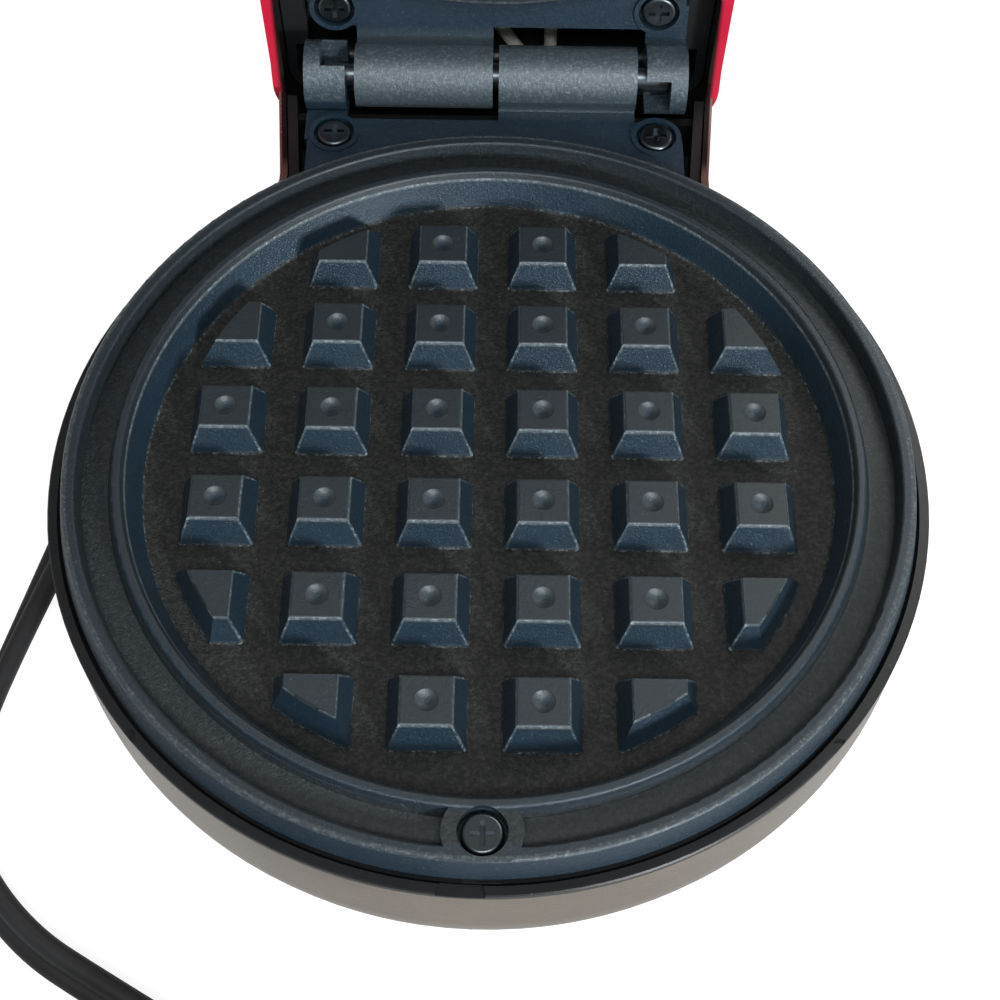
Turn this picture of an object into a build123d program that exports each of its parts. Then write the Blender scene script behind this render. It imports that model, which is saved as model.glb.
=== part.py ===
"""Mini waffle maker, standing open on its feet.

The origin is on the table under the centre of the lower cooking plate. +Z is up and +Y points
at the hinge. The lid's pieces are modelled with the lid shut and then swung open, so that the
two plates share one casting and the hinge fits by construction. All sizes are millimetres.
"""

import os
from math import atan2, cos, degrees, hypot, pi, radians, sin, sqrt, tan

from build123d import *

# Heights above the table
foot_height = 3.0
parting_height = 34.7
closed_height = 71.0

# Cooking plates, heights measured from the parting plane between them
peg_gap = 1.6
peg_pitch = 15.4
peg_base = 11.0
peg_top = 7.0
peg_height = 4.9
peg_corner = 0.8
peg_edge = 0.35
peg_columns = 6
cut_peg_radius = 47.4
dimple_radius = 1.65
dimple_depth = 0.7
floor_radius = 49.9
floor_thickness = 2.5
ridge_radius = 52.4
ridge_top_width = 1.2
ridge_drop = 0.7
gutter_radius = 54.4
gutter_depth = 3.1
gutter_fall = 0.8
rim_radius = 60.6
rim_drop = 0.9
rim_width = 1.9
rim_flare = 0.9
rim_height = 4.1
rim_foot = 1.0
web_thickness = 2.1
web_foot = 1.2
plate_round = 0.45

# Plate tail and hinge
hinge_y = 73.1
hinge_drop = 0.6
open_angle = 99.0
tail_half_width = 30.7
tail_drop = 4.4
tail_thickness = 3.8
tail_end = 67.0
tail_corner = 4.5
knuckle_radius = 5.1
knuckle_length = 22.5
knuckle_gap = 1.0
ear_radius = 5.6
ear_width = 6.7
ear_gap = 1.5
ear_notch_width = 5.8
ear_notch_depth = 4.0
pin_radius = 2.2
pin_clearance = 0.05
pin_end_gap = 0.1

# Screws
tail_screw_x = 26.4
tail_screw_y = 63.6
front_screw_y = -56.6
head_radius = 2.8
head_height = 1.7
shank_radius = 1.5
screw_length = 9.0
recess_width = 0.8
recess_depth = 0.9
hole_clearance = 0.3
pilot_clearance = 0.05
blind_depth = 1.5
counterbore_clearance = 0.5
counterbore_depth = 1.6
front_bore_depth = 2.4
collar_width = 0.8
collar_height = 0.45
front_boss_radius = 5.3
post_radius = 3.9
seat_gap = 0.05

# Base housing
housing_radius = 63.5
steel_thickness = 1.2
steel_top = 27.9
pan_corner = 14.0
neck_front_half = 34.4
neck_back_half = 36.0
neck_start = 54.0
neck_step = 71.7
neck_end = 86.0
neck_top = 31.4
neck_corner = 8.0
neck_bottom_round = 5.5
liner_gap = 0.15
liner_wall = 1.6
liner_drop = 0.8
skirt_bottom = 12.0
land_thickness = 1.0
land_chamfer = 0.2
groove_width = 0.6
stop_gap = 0.15
shelf_thickness = 1.8
cross_wall_y = 69.8
cross_wall_bottom = 17.0
cross_wall_clearance = 0.3
rib_height = 3.0
rib_width = 5.0
foot_radius = 6.0
front_foot_x = 31.0
front_foot_y = -31.0
rear_foot_x = 26.0
rear_foot_y = 65.0
foot_hole_clearance = 0.6
notch_radius = 3.2
notch_x = -2.7
nick_radius = 1.1
nick_angle = 48.0

# Lid housing
lid_radius = 64.5
lid_wall = 2.0
lid_rim_gap = 0.4
lid_side_height = 9.5
lid_corner = 16.0
lid_neck_front_half = 38.0
lid_neck_back_half = 37.2
lid_back = 10.0
lid_neck_height = 17.0
lid_neck_corner = 7.0
lid_neck_round = 6.0
lid_ring_height = 11.0
lug_width = 9.0
lug_thickness = 2.4
lid_screw_circle = 50.5
handle_reach = 13.5
handle_width = 36.0
handle_bottom = 37.4
handle_thickness = 9.0
handle_corner = 7.0
handle_round = 2.4
prong_x = 10.5
prong_width = 8.0
prong_thickness = 2.6
prong_length = 9.5
handle_screw_head = 1.8
handle_screw_height = 1.2
handle_screw_shank = 1.1
handle_screw_length = 4.4
handle_screw_inset = 2.3
handle_lug_setback = 0.5
lens_y = -32.0
lens_radius = 4.0
lens_rise = 1.0
lens_flange = 1.3
lens_depth = 5.0
lens_roof = 1.2
lamp_radius = 2.4
lamp_length = 6.0
lamp_gap = 1.0

# Heating element, shields and thermostat
element_radius = 33.0
element_tube = 6.5
leg_x = 9.0
leg_bend = 8.0
leg_length = 6.0
terminal_radius = 1.3
terminal_length = 8.5
clip_width = 12.0
clip_thickness = 1.2
clip_overhang = 4.0
shield_radius = 44.0
shield_thickness = 0.6
shield_rim = 3.4
shield_slot = 26.0
centre_boss_radius = 4.5
thermostat_radius = 7.5
thermostat_height = 11.0
thermostat_y = 17.5
thermostat_flange_radius = 3.2
thermostat_flange_thickness = 1.2
thermostat_screw_x = 11.5
blade_gap = 6.0
fuse_radius = 2.4
fuse_length = 14.0
fuse_x = 16.0
fuse_y = 21.0

# Wires inside
wire_radius = 1.1
wire_bend = 3.0
wire_level = 8.0
connector_radius = 3.0
connector_length = 14.0
connector_y = 47.0
connector_pitch = 12.0
crossing_x = 7.5
crossing_pitch = 3.4
crossing_notch = 11.0
crossing_radius = 6.6
crossing_start = 69.0
crossing_level = 25.2
crossing_dip = 0.6
crossing_rise = 1.3
wire_end_gap = 0.05
wire_beside = 1.3
wire_run = 4.0
riser_run = 4.5
supply_run = 3.6
supply_reach = 10.2
live_run = 2.4
live_reach = 5.4
supply_pitch = 3.2
lamp_wire_x = 14.0
lamp_wire_rise = 9.0

# Power lead
cord_diameter = 5.0
cord_exit_x = 20.0
cord_exit_z = 12.5
relief_length = 20.0
relief_radius = 6.0
relief_tip = 3.5
relief_waist = 4.5
relief_flange = 5.4
relief_groove = 1.8
relief_flange_width = 1.8
relief_tail = 3.6
relief_inner = 13.8
relief_solid = 11.0
clamp_y = 75.5
clamp_width = 22.0
clamp_depth = 6.0
clamp_height = 2.4
clamp_screw_pitch = 15.0
clamp_post_radius = 2.9
coil_entry = 28.8
coil_heading = -30.0
coil_radius = 36.0
coil_step = 2.8
coil_layer = 5.6
tail_runs = [(18.0, -30.0, 8.1), (16.0, -45.0, 6.25), (14.0, -60.0, 6.25)]
plug_length = 26.0
plug_width = 22.0
plug_thickness = 12.5
plug_round = 2.0
plug_neck = 9.0
plug_neck_length = 10.0
blade_spacing = 12.7
blade_width = 6.35
blade_length = 17.5
blade_thickness = 1.52
blade_hole = 1.5

# The lead's corner points from the strain relief to the coil
cord_route = [
    (cord_exit_x, neck_end + relief_solid, cord_exit_z),
    (cord_exit_x, 115.0, cord_exit_z),
    (9.4, 129.6, 10.8),
    (-7.7, 135.1, 7.6),
    (-24.8, 129.6, 4.5),
    (-33.5, 114.0, 2.7),
    (-35.6, 93.0, 2.5),
    (-39.4, 76.0, 2.5),
    (-49.6, 56.0, 2.5),
    (-58.0, 37.0, 2.5),
    (-64.5, 12.0, 2.5),
    (-71.5, -14.0, 2.5),
    (-76.3, -33.5, 2.5),
    (-74.5, -49.5, 2.5),
    (-64.5, -62.0, 2.5),
    (-51.1, -69.75, 2.5),
]

hinge_z = parting_height - hinge_drop
peg_taper = degrees(atan2((peg_base - peg_top) / 2, peg_height))
floor_drop = peg_gap + peg_height
underside_drop = floor_drop + floor_thickness
rim_underside = rim_drop + rim_height + rim_foot
plate_edge = rim_radius + rim_flare
tail_underside = tail_drop + tail_thickness
hole_radius = shank_radius + hole_clearance
pilot_radius = shank_radius + pilot_clearance
counterbore_radius = head_radius + counterbore_clearance
ring_inset = steel_thickness + liner_gap
lid_ring_inset = lid_wall + liner_gap
tail_points = [(-tail_screw_x, tail_screw_y), (tail_screw_x, tail_screw_y)]
base_points = [
    (-front_foot_x, front_foot_y),
    (front_foot_x, front_foot_y),
    (-rear_foot_x, rear_foot_y),
    (rear_foot_x, rear_foot_y),
]


def turned_over(piece):
    """The same piece on the other side of the parting plane, hinge still at the back."""
    return Pos(0, 0, parting_height) * Rot(0, 180, 0) * Pos(0, 0, -parting_height) * piece


def swung_open(piece):
    """A lid piece, modelled with the lid shut, in the resting open position."""
    return Pos(0, hinge_y, hinge_z) * Rot(-open_angle, 0, 0) * Pos(0, -hinge_y, -hinge_z) * piece


def shelf_height(y, gap):
    """Height at y of a plane that runs a gap under the back of the open lid."""
    turn = radians(open_angle)
    return hinge_z + ((y - hinge_y) * cos(turn) - lid_back - gap) / sin(turn)


def tube(points, radius, bends):
    """A round tube along straight runs with tangent arcs at the corners."""
    with BuildPart() as made:
        with BuildLine() as path:
            FilletPolyline(*points, radius=bends)
        with BuildSketch(Plane(path.wire() @ 0, z_dir=path.wire() % 0)):
            Circle(radius)
        sweep()
    return made.part


def screw(length, head, height, shank):
    """A cross-recess screw that points down, with the seat of its head on z = 0."""
    recess_length = 1.2 * head
    with BuildPart() as made:
        with BuildSketch():
            Circle(head)
        extrude(amount=height)
        fillet(made.faces().sort_by(Axis.Z)[-1].edges(), height / 3)
        with BuildSketch(Plane.XY.offset(height)):
            Rectangle(recess_length, recess_width)
            Rectangle(recess_width, recess_length)
        extrude(amount=-recess_depth, mode=Mode.SUBTRACT)
        with BuildSketch():
            Circle(shank)
        extrude(amount=-length)
    return made.part


plain_screw = screw(screw_length, head_radius, head_height, shank_radius)
handle_screw = screw(
    handle_screw_length, handle_screw_head, handle_screw_height, handle_screw_shank
)
thermostat_screw = screw(
    blind_depth + thermostat_flange_thickness, head_radius, head_height, shank_radius
)
upward_screw = Rot(180, 0, 0) * plain_screw


# Cooking plates

with BuildPart() as full_peg:
    with BuildSketch(Plane.XY.offset(-floor_drop)):
        RectangleRounded(peg_base, peg_base, peg_corner)
    extrude(amount=peg_height, taper=peg_taper)
    fillet(full_peg.faces().sort_by(Axis.Z)[-1].edges(), peg_edge)
    dimple_sphere = (dimple_radius**2 + dimple_depth**2) / (2 * dimple_depth)
    with Locations((0, 0, dimple_sphere - dimple_depth - peg_gap)):
        Sphere(dimple_sphere, mode=Mode.SUBTRACT)
    with BuildSketch(Plane.XY.offset(-floor_drop)):
        RectangleRounded(peg_base, peg_base, peg_corner)
    extrude(amount=-floor_thickness / 2)

with BuildPart() as bare_peg:
    with BuildSketch(Plane.XY.offset(-floor_drop)):
        RectangleRounded(peg_base, peg_base, peg_corner)
    extrude(amount=peg_height, taper=peg_taper)
    with BuildSketch(Plane.XY.offset(-floor_drop)):
        RectangleRounded(peg_base, peg_base, peg_corner)
    extrude(amount=-floor_thickness / 2)

peg_places = []
cut_peg_places = []
for column in range(peg_columns):
    for row in range(peg_columns):
        peg_x = (column - (peg_columns - 1) / 2) * peg_pitch
        peg_y = (row - (peg_columns - 1) / 2) * peg_pitch
        if hypot(peg_x, peg_y) < cut_peg_radius - peg_base / 2:
            peg_places.append((peg_x, peg_y))
        elif hypot(peg_x, peg_y) < cut_peg_radius:
            cut_peg_places.append((peg_x, peg_y))

with BuildPart() as cut_pegs:
    with Locations(*cut_peg_places):
        add(bare_peg.part)
    with BuildSketch(Plane.XY.offset(-underside_drop)):
        Circle(cut_peg_radius + floor_thickness * tan(radians(peg_taper)))
    extrude(amount=underside_drop, taper=peg_taper, mode=Mode.INTERSECT)


gutter_floor = -gutter_depth - gutter_fall

with BuildPart() as plate_disc:
    with BuildSketch(Plane.XZ):
        with BuildLine():
            FilletPolyline(
                (0, -floor_drop),
                (floor_radius, -floor_drop),
                (ridge_radius, -ridge_drop),
                (ridge_radius + ridge_top_width, -ridge_drop),
                (gutter_radius, -gutter_depth),
                radius=plate_round,
            )
            Line((gutter_radius, -gutter_depth), (rim_radius - rim_width - plate_round, gutter_floor))
            FilletPolyline(
                (rim_radius - rim_width - plate_round, gutter_floor),
                (rim_radius - rim_width, -rim_drop),
                (rim_radius, -rim_drop),
                (plate_edge, -rim_drop - rim_height),
                radius=plate_round,
            )
            Polyline(
                (plate_edge, -rim_drop - rim_height),
                (plate_edge - rim_foot, -rim_underside),
                (gutter_radius + web_foot, gutter_floor - web_thickness),
                (floor_radius + floor_thickness, -underside_drop),
                (0, -underside_drop),
                (0, -floor_drop),
            )
        make_face()
    revolve(axis=Axis.Z)
    with Locations(*peg_places):
        add(full_peg.part)
    add(cut_pegs.part)


def cooking_plate(knuckle_height):
    """The plate casting, seen as the lower plate, with z = 0 on the parting plane.

    knuckle_height is the hinge axis above that plane. The long knuckle is right of the centre
    line and the notched ear is on the left, so that the turned-over plate fills the gaps.
    """
    with BuildPart() as plate:
        add(plate_disc.part)
        # tail between the rim and the hinge
        with BuildSketch(Plane.XY.offset(-tail_underside)) as tail:
            with Locations((0, tail_end / 2)):
                Rectangle(2 * tail_half_width, tail_end)
            fillet(tail.vertices().sort_by(Axis.Y)[-2:], tail_corner)
            Circle(gutter_radius + web_thickness / 2, mode=Mode.SUBTRACT)
            with Locations((0, -plate_edge)):
                Rectangle(2 * plate_edge, 2 * plate_edge, mode=Mode.SUBTRACT)
        extrude(amount=tail_thickness)
        # long knuckle, then the ear
        knuckle_start = knuckle_gap / 2
        ear_start = knuckle_start + knuckle_length + ear_gap
        for start, width, radius in (
            (knuckle_start, knuckle_length, knuckle_radius),
            (-ear_start - ear_width, ear_width, ear_radius),
        ):
            flank = radius * cos(radians(45))
            with BuildSketch(Plane.YZ.offset(start)):
                with Locations((hinge_y, knuckle_height)):
                    Circle(radius)
                with BuildLine():
                    Polyline(
                        (tail_end - tail_corner, -tail_drop),
                        (hinge_y - flank - plate_round, -tail_drop),
                        (hinge_y - flank, knuckle_height - flank),
                        (hinge_y, knuckle_height),
                        (hinge_y, knuckle_height - radius),
                        (tail_end + rim_foot, -tail_underside),
                        (tail_end - tail_corner, -tail_underside),
                        close=True,
                    )
                make_face()
            extrude(amount=width)
        # the pin's bore, blind in the ear, and the ear's notch over the pin's end
        with BuildSketch(Plane.YZ.offset(-ear_start - ear_notch_depth - pin_end_gap)):
            with Locations((hinge_y, knuckle_height)):
                Circle(pin_radius + pin_clearance)
        extrude(amount=2 * ear_start + ear_notch_depth, mode=Mode.SUBTRACT)
        notch_top = 2 * ear_radius
        with Locations((-ear_start - ear_notch_depth / 2, hinge_y, knuckle_height + notch_top / 2)):
            Box(ear_notch_depth, ear_notch_width, notch_top, mode=Mode.SUBTRACT)
        # screw seats
        with BuildSketch(Plane.XY.offset(-rim_underside)):
            with Locations((0, front_screw_y)):
                Circle(front_boss_radius)
            Circle(rim_radius, mode=Mode.INTERSECT)
            Circle(ridge_radius + ridge_top_width / 2, mode=Mode.SUBTRACT)
        extrude(amount=rim_underside - rim_drop)
        with BuildSketch(Plane.XY.offset(-tail_drop)):
            with Locations(*tail_points):
                Circle(counterbore_radius + collar_width)
        extrude(amount=collar_height)
        with Locations((0, front_screw_y, -rim_drop)):
            CounterBoreHole(hole_radius, counterbore_radius, front_bore_depth)
        with Locations(*[(x, y, collar_height - tail_drop) for x, y in tail_points]):
            CounterBoreHole(hole_radius, counterbore_radius, counterbore_depth)
        # centre boss under the plate for the heating element's clip
        boss_length = element_tube + 2 * seat_gap
        with BuildSketch(Plane.XY.offset(-underside_drop)):
            Circle(centre_boss_radius)
        extrude(amount=-boss_length)
        with BuildSketch(Plane.XY.offset(-underside_drop - boss_length)):
            Circle(pilot_radius)
        extrude(amount=screw_length - clip_thickness, mode=Mode.SUBTRACT)
        # two blind holes for the thermostat, in every casting
        with BuildSketch(Plane.XY.offset(-underside_drop)):
            with Locations((0, thermostat_y)):
                with GridLocations(2 * thermostat_screw_x, 1, 2, 1):
                    Circle(pilot_radius)
        extrude(amount=blind_depth, mode=Mode.SUBTRACT)
    return plate.part


lower_plate = Pos(0, 0, parting_height) * cooking_plate(-hinge_drop)
upper_plate = turned_over(Pos(0, 0, parting_height) * cooking_plate(hinge_drop))

front_seat = parting_height - rim_drop - front_bore_depth
tail_seat = parting_height - tail_drop + collar_height - counterbore_depth

with BuildPart() as lower_plate_screws:
    with Locations((0, front_screw_y, front_seat)):
        add(plain_screw)
    with Locations(*[(x, y, tail_seat) for x, y in tail_points]):
        add(plain_screw)

upper_plate_screws = turned_over(lower_plate_screws.part)

pin_reach = knuckle_gap / 2 + knuckle_length + ear_gap + ear_notch_depth

with BuildPart() as hinge_pin:
    with BuildSketch(Plane.YZ.offset(-pin_reach)):
        with Locations((hinge_y, hinge_z)):
            Circle(pin_radius)
    extrude(amount=2 * pin_reach)
    chamfer(hinge_pin.edges().filter_by(GeomType.CIRCLE), pin_radius / 8)


# Base housing


def neck_plan(front_half, back_half, end, corner):
    """Plan of a housing's neck, from its middle back to its rounded end corners."""
    with BuildSketch() as plan:
        with BuildLine():
            Polyline(
                (-front_half, 0),
                (-front_half, neck_start),
                (-back_half, neck_step),
                (-back_half, end),
                (back_half, end),
                (back_half, neck_step),
                (front_half, neck_start),
                (front_half, 0),
                close=True,
            )
        make_face()
        fillet(plan.vertices().group_by(Axis.Y)[-1], corner)
    return plan.sketch


def base_form(inset, pan_top, walls_top):
    """The base's round pan with the neck round the hinge, solid, and smaller by an inset."""
    bottom = foot_height + inset
    with BuildPart() as form:
        with BuildSketch(Plane.XY.offset(bottom)):
            add(
                neck_plan(
                    neck_front_half - inset,
                    neck_back_half - inset,
                    neck_end - inset,
                    neck_corner - inset,
                )
            )
        extrude(amount=walls_top - bottom)
        fillet(form.faces().sort_by(Axis.Z)[0].edges(), neck_bottom_round - inset)
        with BuildSketch(Plane.XZ):
            with BuildLine():
                FilletPolyline(
                    (0, bottom),
                    (housing_radius - inset, bottom),
                    (housing_radius - inset, pan_top),
                    radius=pan_corner - inset,
                )
                Polyline((housing_radius - inset, pan_top), (0, pan_top), (0, bottom))
            make_face()
        revolve(axis=Axis.Z)
    return form.part


def over_shelf(gap):
    """The space behind the hinge that the open lid needs, down to a gap under its back."""
    far = neck_end + neck_corner
    with BuildPart() as space:
        with BuildSketch(Plane.YZ.offset(-housing_radius)):
            with BuildLine():
                Polyline(
                    (neck_step, shelf_height(neck_step, gap)),
                    (far, shelf_height(far, gap)),
                    (far, closed_height),
                    (neck_step, closed_height),
                    close=True,
                )
            make_face()
        extrude(amount=2 * housing_radius)
    return space.part


with BuildPart() as base_shell:
    add(base_form(0, steel_top, neck_top))
    add(base_form(steel_thickness, closed_height, closed_height), mode=Mode.SUBTRACT)
    add(over_shelf(2 * stop_gap), mode=Mode.SUBTRACT)
    with BuildSketch(Plane.XZ.offset(-neck_end)):
        with Locations((cord_exit_x, cord_exit_z)):
            Circle(relief_waist + pin_clearance)
    extrude(amount=2 * steel_thickness, mode=Mode.SUBTRACT)
    with BuildSketch(Plane.XY.offset(foot_height)):
        with Locations(*base_points):
            Circle(hole_radius)
    extrude(amount=steel_thickness, mode=Mode.SUBTRACT)

liner_top = neck_top - liner_drop
land_top = steel_top + land_thickness
inner_half = neck_back_half - ring_inset - liner_wall / 2
rib_reach = housing_radius - hypot(front_foot_x, front_foot_y)
front_post_top = parting_height - rim_underside - seat_gap
tail_post_top = parting_height - tail_underside - seat_gap
floor_level = foot_height + steel_thickness + seat_gap
clamp_post_end = cord_exit_z - relief_tail + seat_gap
front_pilot_depth = screw_length - (front_seat - front_post_top) + hole_clearance
tail_pilot_depth = screw_length - (tail_seat - tail_post_top) + hole_clearance

with BuildPart() as webs:
    # shelf that the open lid rests on, over the posts of the lead's clamp
    with BuildSketch(Plane.YZ.offset(-inner_half)):
        with BuildLine():
            Polyline(
                (cross_wall_y, shelf_height(cross_wall_y, stop_gap + shelf_thickness)),
                (neck_end, shelf_height(neck_end, stop_gap + shelf_thickness)),
                (neck_end, shelf_height(neck_end, stop_gap)),
                (cross_wall_y, shelf_height(cross_wall_y, stop_gap)),
                close=True,
            )
        make_face()
    extrude(amount=2 * inner_half)
    for side in (-1, 1):
        with BuildSketch(Plane.XY.offset(clamp_post_end)):
            with Locations((cord_exit_x + side * clamp_screw_pitch / 2, clamp_y)):
                Circle(clamp_post_radius)
        extrude(amount=shelf_height(clamp_y, stop_gap + shelf_thickness / 2) - clamp_post_end)
    # ribs from the screw posts out to the skirt and the neck's liner
    with BuildSketch(Plane.XY.offset(skirt_bottom)):
        with Locations((0, (front_screw_y - housing_radius) / 2)):
            Rectangle(rib_width, housing_radius + front_screw_y)
    extrude(amount=front_post_top - skirt_bottom)
    for side in (-1, 1):
        rib_angle = degrees(atan2(front_foot_y, side * front_foot_x))
        rib_plane = Plane(
            origin=(side * front_foot_x, front_foot_y, skirt_bottom),
            x_dir=(cos(radians(rib_angle)), sin(radians(rib_angle)), 0),
            z_dir=(0, 0, 1),
        )
        with BuildSketch(rib_plane):
            with Locations((rib_reach / 2, 0)):
                Rectangle(rib_reach, rib_width)
        extrude(amount=rib_height)
        with BuildSketch(Plane.XY.offset(skirt_bottom)):
            with Locations((side * (tail_screw_x + inner_half) / 2, tail_screw_y)):
                Rectangle(inner_half - tail_screw_x, rib_width)
        extrude(amount=tail_post_top - skirt_bottom - rib_height)
    add(base_form(ring_inset + liner_wall / 2, closed_height, closed_height), mode=Mode.INTERSECT)

with BuildPart() as base_ring:
    # the land on the steel edge, stopped at the neck
    land_inner = housing_radius - ring_inset - liner_wall / 2
    with BuildSketch(Plane.XZ):
        with BuildLine():
            Polyline(
                (land_inner, steel_top),
                (land_inner, land_top),
                (housing_radius - land_chamfer, land_top),
                (housing_radius, land_top - land_chamfer),
                (housing_radius, steel_top),
                close=True,
            )
        make_face()
    revolve(axis=Axis.Z)
    with Locations((0, neck_end, land_top)):
        Box(2 * neck_front_half, neck_end, 4 * land_thickness, mode=Mode.SUBTRACT)
    # skirt inside the steel and liner inside the neck
    add(base_form(ring_inset, steel_top + land_thickness / 2, liner_top))
    add(
        base_form(ring_inset + liner_wall, closed_height, closed_height),
        mode=Mode.SUBTRACT,
    )
    with Locations((0, 0, skirt_bottom / 2)):
        Box(2 * neck_end, 2 * neck_end, skirt_bottom, mode=Mode.SUBTRACT)
    # groove round the plate
    with BuildSketch(Plane.XZ):
        with BuildLine():
            Polyline(
                (0, steel_top),
                (plate_edge, steel_top),
                (plate_edge + groove_width, land_top),
                (plate_edge + groove_width, closed_height),
                (0, closed_height),
                close=True,
            )
        make_face()
    revolve(axis=Axis.Z, mode=Mode.SUBTRACT)
    add(webs.part)
    # wall under the knuckles, with a low place where the wires cross to the lid
    wall_top = parting_height - tail_underside + cross_wall_clearance
    wall_depth = neck_step - cross_wall_y - cross_wall_clearance
    with BuildSketch(Plane.XY.offset(cross_wall_bottom)):
        with Locations((0, cross_wall_y + wall_depth / 2)):
            Rectangle(2 * inner_half, wall_depth)
    extrude(amount=wall_top - cross_wall_bottom)
    with Locations((crossing_x, cross_wall_y, wall_top)):
        Box(
            crossing_notch,
            2 * wall_depth + 2 * liner_wall,
            2 * (wall_top - shelf_height(cross_wall_y, stop_gap)),
            mode=Mode.SUBTRACT,
        )
    # posts that the plate's screws and the base's screws go into
    with BuildSketch(Plane.XY.offset(skirt_bottom)):
        with Locations((0, front_screw_y)):
            Circle(post_radius)
    extrude(amount=front_post_top - skirt_bottom)
    with BuildSketch(Plane.XY.offset(parting_height - underside_drop - cross_wall_clearance)):
        Circle(gutter_radius + web_foot + cross_wall_clearance)
        with Locations((0, neck_end - front_boss_radius)):
            Rectangle(2 * neck_end, 2 * neck_end, mode=Mode.SUBTRACT)
    extrude(amount=floor_drop, mode=Mode.SUBTRACT)
    with BuildSketch(Plane.XY.offset(floor_level)):
        with Locations(*tail_points):
            Circle(post_radius)
    extrude(amount=tail_post_top - floor_level)
    with BuildSketch(Plane.XY.offset(floor_level)):
        with Locations(*base_points):
            Circle(post_radius)
    extrude(amount=skirt_bottom + rib_height - floor_level)
    # pilot holes
    with BuildSketch(Plane.XY.offset(front_post_top)):
        with Locations((0, front_screw_y)):
            Circle(pilot_radius)
    extrude(amount=-front_pilot_depth, mode=Mode.SUBTRACT)
    with BuildSketch(Plane.XY.offset(tail_post_top)):
        with Locations(*tail_points):
            Circle(pilot_radius)
    extrude(amount=-tail_pilot_depth, mode=Mode.SUBTRACT)
    with BuildSketch(Plane.XY.offset(floor_level)):
        with Locations(*base_points):
            Circle(pilot_radius)
    extrude(amount=screw_length, mode=Mode.SUBTRACT)
    with BuildSketch(Plane.XY.offset(clamp_post_end)):
        with Locations((cord_exit_x, clamp_y)):
            with GridLocations(clamp_screw_pitch, 1, 2, 1):
                Circle(pilot_radius)
    extrude(amount=screw_length, mode=Mode.SUBTRACT)
    # room for the strain relief's flange, the front notch and two nicks
    with Locations((cord_exit_x, neck_end - relief_flange / 2, cord_exit_z)):
        Box(
            2 * relief_flange + liner_wall,
            relief_flange + liner_wall,
            2 * relief_flange + liner_wall,
            mode=Mode.SUBTRACT,
        )
    with BuildSketch(Plane.XY.offset(land_top)):
        with Locations((notch_x, -housing_radius)):
            Circle(notch_radius)
        with PolarLocations(housing_radius, 2, -90 - nick_angle, 4 * nick_angle):
            Circle(nick_radius)
    extrude(amount=-land_thickness / 2, mode=Mode.SUBTRACT)
    add(over_shelf(stop_gap), mode=Mode.SUBTRACT)

with BuildPart() as feet:
    with BuildSketch():
        with Locations(*base_points):
            Circle(foot_radius)
            Circle(head_radius + foot_hole_clearance, mode=Mode.SUBTRACT)
    extrude(amount=foot_height)
    fillet(feet.faces().group_by(Axis.Z)[0].edges(), foot_height / 6)

with BuildPart() as base_screws:
    with Locations(*[(x, y, foot_height) for x, y in base_points]):
        add(upward_screw)


# Heating element, clip, shield

element_level = parting_height - underside_drop - seat_gap - element_tube / 2
bend_y = sqrt((element_radius + leg_bend) ** 2 - (leg_x + leg_bend) ** 2)
bend_turn = degrees(atan2(bend_y, leg_x + leg_bend))

with BuildPart() as lower_element:
    with BuildLine() as element_path:
        Line((leg_x, bend_y + leg_length, element_level), (leg_x, bend_y, element_level))
        JernArc((leg_x, bend_y, element_level), (0, -1), leg_bend, bend_turn)
        JernArc(
            element_path.edges()[-1] @ 1,
            element_path.edges()[-1] % 1,
            element_radius,
            2 * (90 - bend_turn) - 360,
        )
        JernArc(
            element_path.edges()[-1] @ 1,
            element_path.edges()[-1] % 1,
            leg_bend,
            bend_turn,
        )
        Line((-leg_x, bend_y, element_level), (-leg_x, bend_y + leg_length, element_level))
    with BuildSketch(Plane.XZ.offset(-bend_y - leg_length)):
        with Locations((leg_x, element_level)):
            Circle(element_tube / 2)
    sweep()

with BuildPart() as lower_terminals:
    with BuildSketch(Plane.XZ.offset(-bend_y - leg_length)):
        with Locations((-leg_x, element_level), (leg_x, element_level)):
            Circle(terminal_radius)
    extrude(amount=-terminal_length)

clip_top = parting_height - underside_drop - element_tube - 2 * seat_gap
clip_span = 2 * (element_radius + clip_overhang)

with BuildPart() as lower_element_clip:
    with BuildSketch(Plane.XY.offset(clip_top)):
        SlotOverall(clip_span, clip_width)
        Circle(hole_radius, mode=Mode.SUBTRACT)
    extrude(amount=-clip_thickness)

shield_top = clip_top - clip_thickness - seat_gap

with BuildPart() as lower_reflector:
    with BuildSketch(Plane.XY.offset(shield_top)):
        Circle(shield_radius)
    extrude(amount=-shield_thickness)
    with BuildSketch(Plane.XY.offset(shield_top)):
        Circle(shield_radius)
        Circle(shield_radius - shield_thickness, mode=Mode.SUBTRACT)
        with Locations((0, shield_radius)):
            Rectangle(shield_slot, shield_slot, mode=Mode.SUBTRACT)
    extrude(amount=shield_rim)
    with BuildSketch(Plane.XY.offset(shield_top)):
        Circle(hole_radius)
        with Locations((0, thermostat_y)):
            Circle(thermostat_radius + hole_clearance)
            with GridLocations(2 * thermostat_screw_x, 1, 2, 1):
                Circle(head_radius + hole_clearance)
    extrude(amount=-shield_thickness, mode=Mode.SUBTRACT)

shield_seat = shield_top - shield_thickness - seat_gap

with BuildPart() as lower_reflector_screw:
    with Locations((0, 0, shield_seat)):
        add(upward_screw)

upper_element = turned_over(lower_element.part)
upper_terminals = turned_over(lower_terminals.part)
upper_element_clip = turned_over(lower_element_clip.part)
upper_reflector = turned_over(lower_reflector.part)
upper_reflector_screw = turned_over(lower_reflector_screw.part)


# Thermostat, fuse and wires in the base

thermostat_top = parting_height - underside_drop - seat_gap
thermostat_bottom = thermostat_top - thermostat_height

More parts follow.
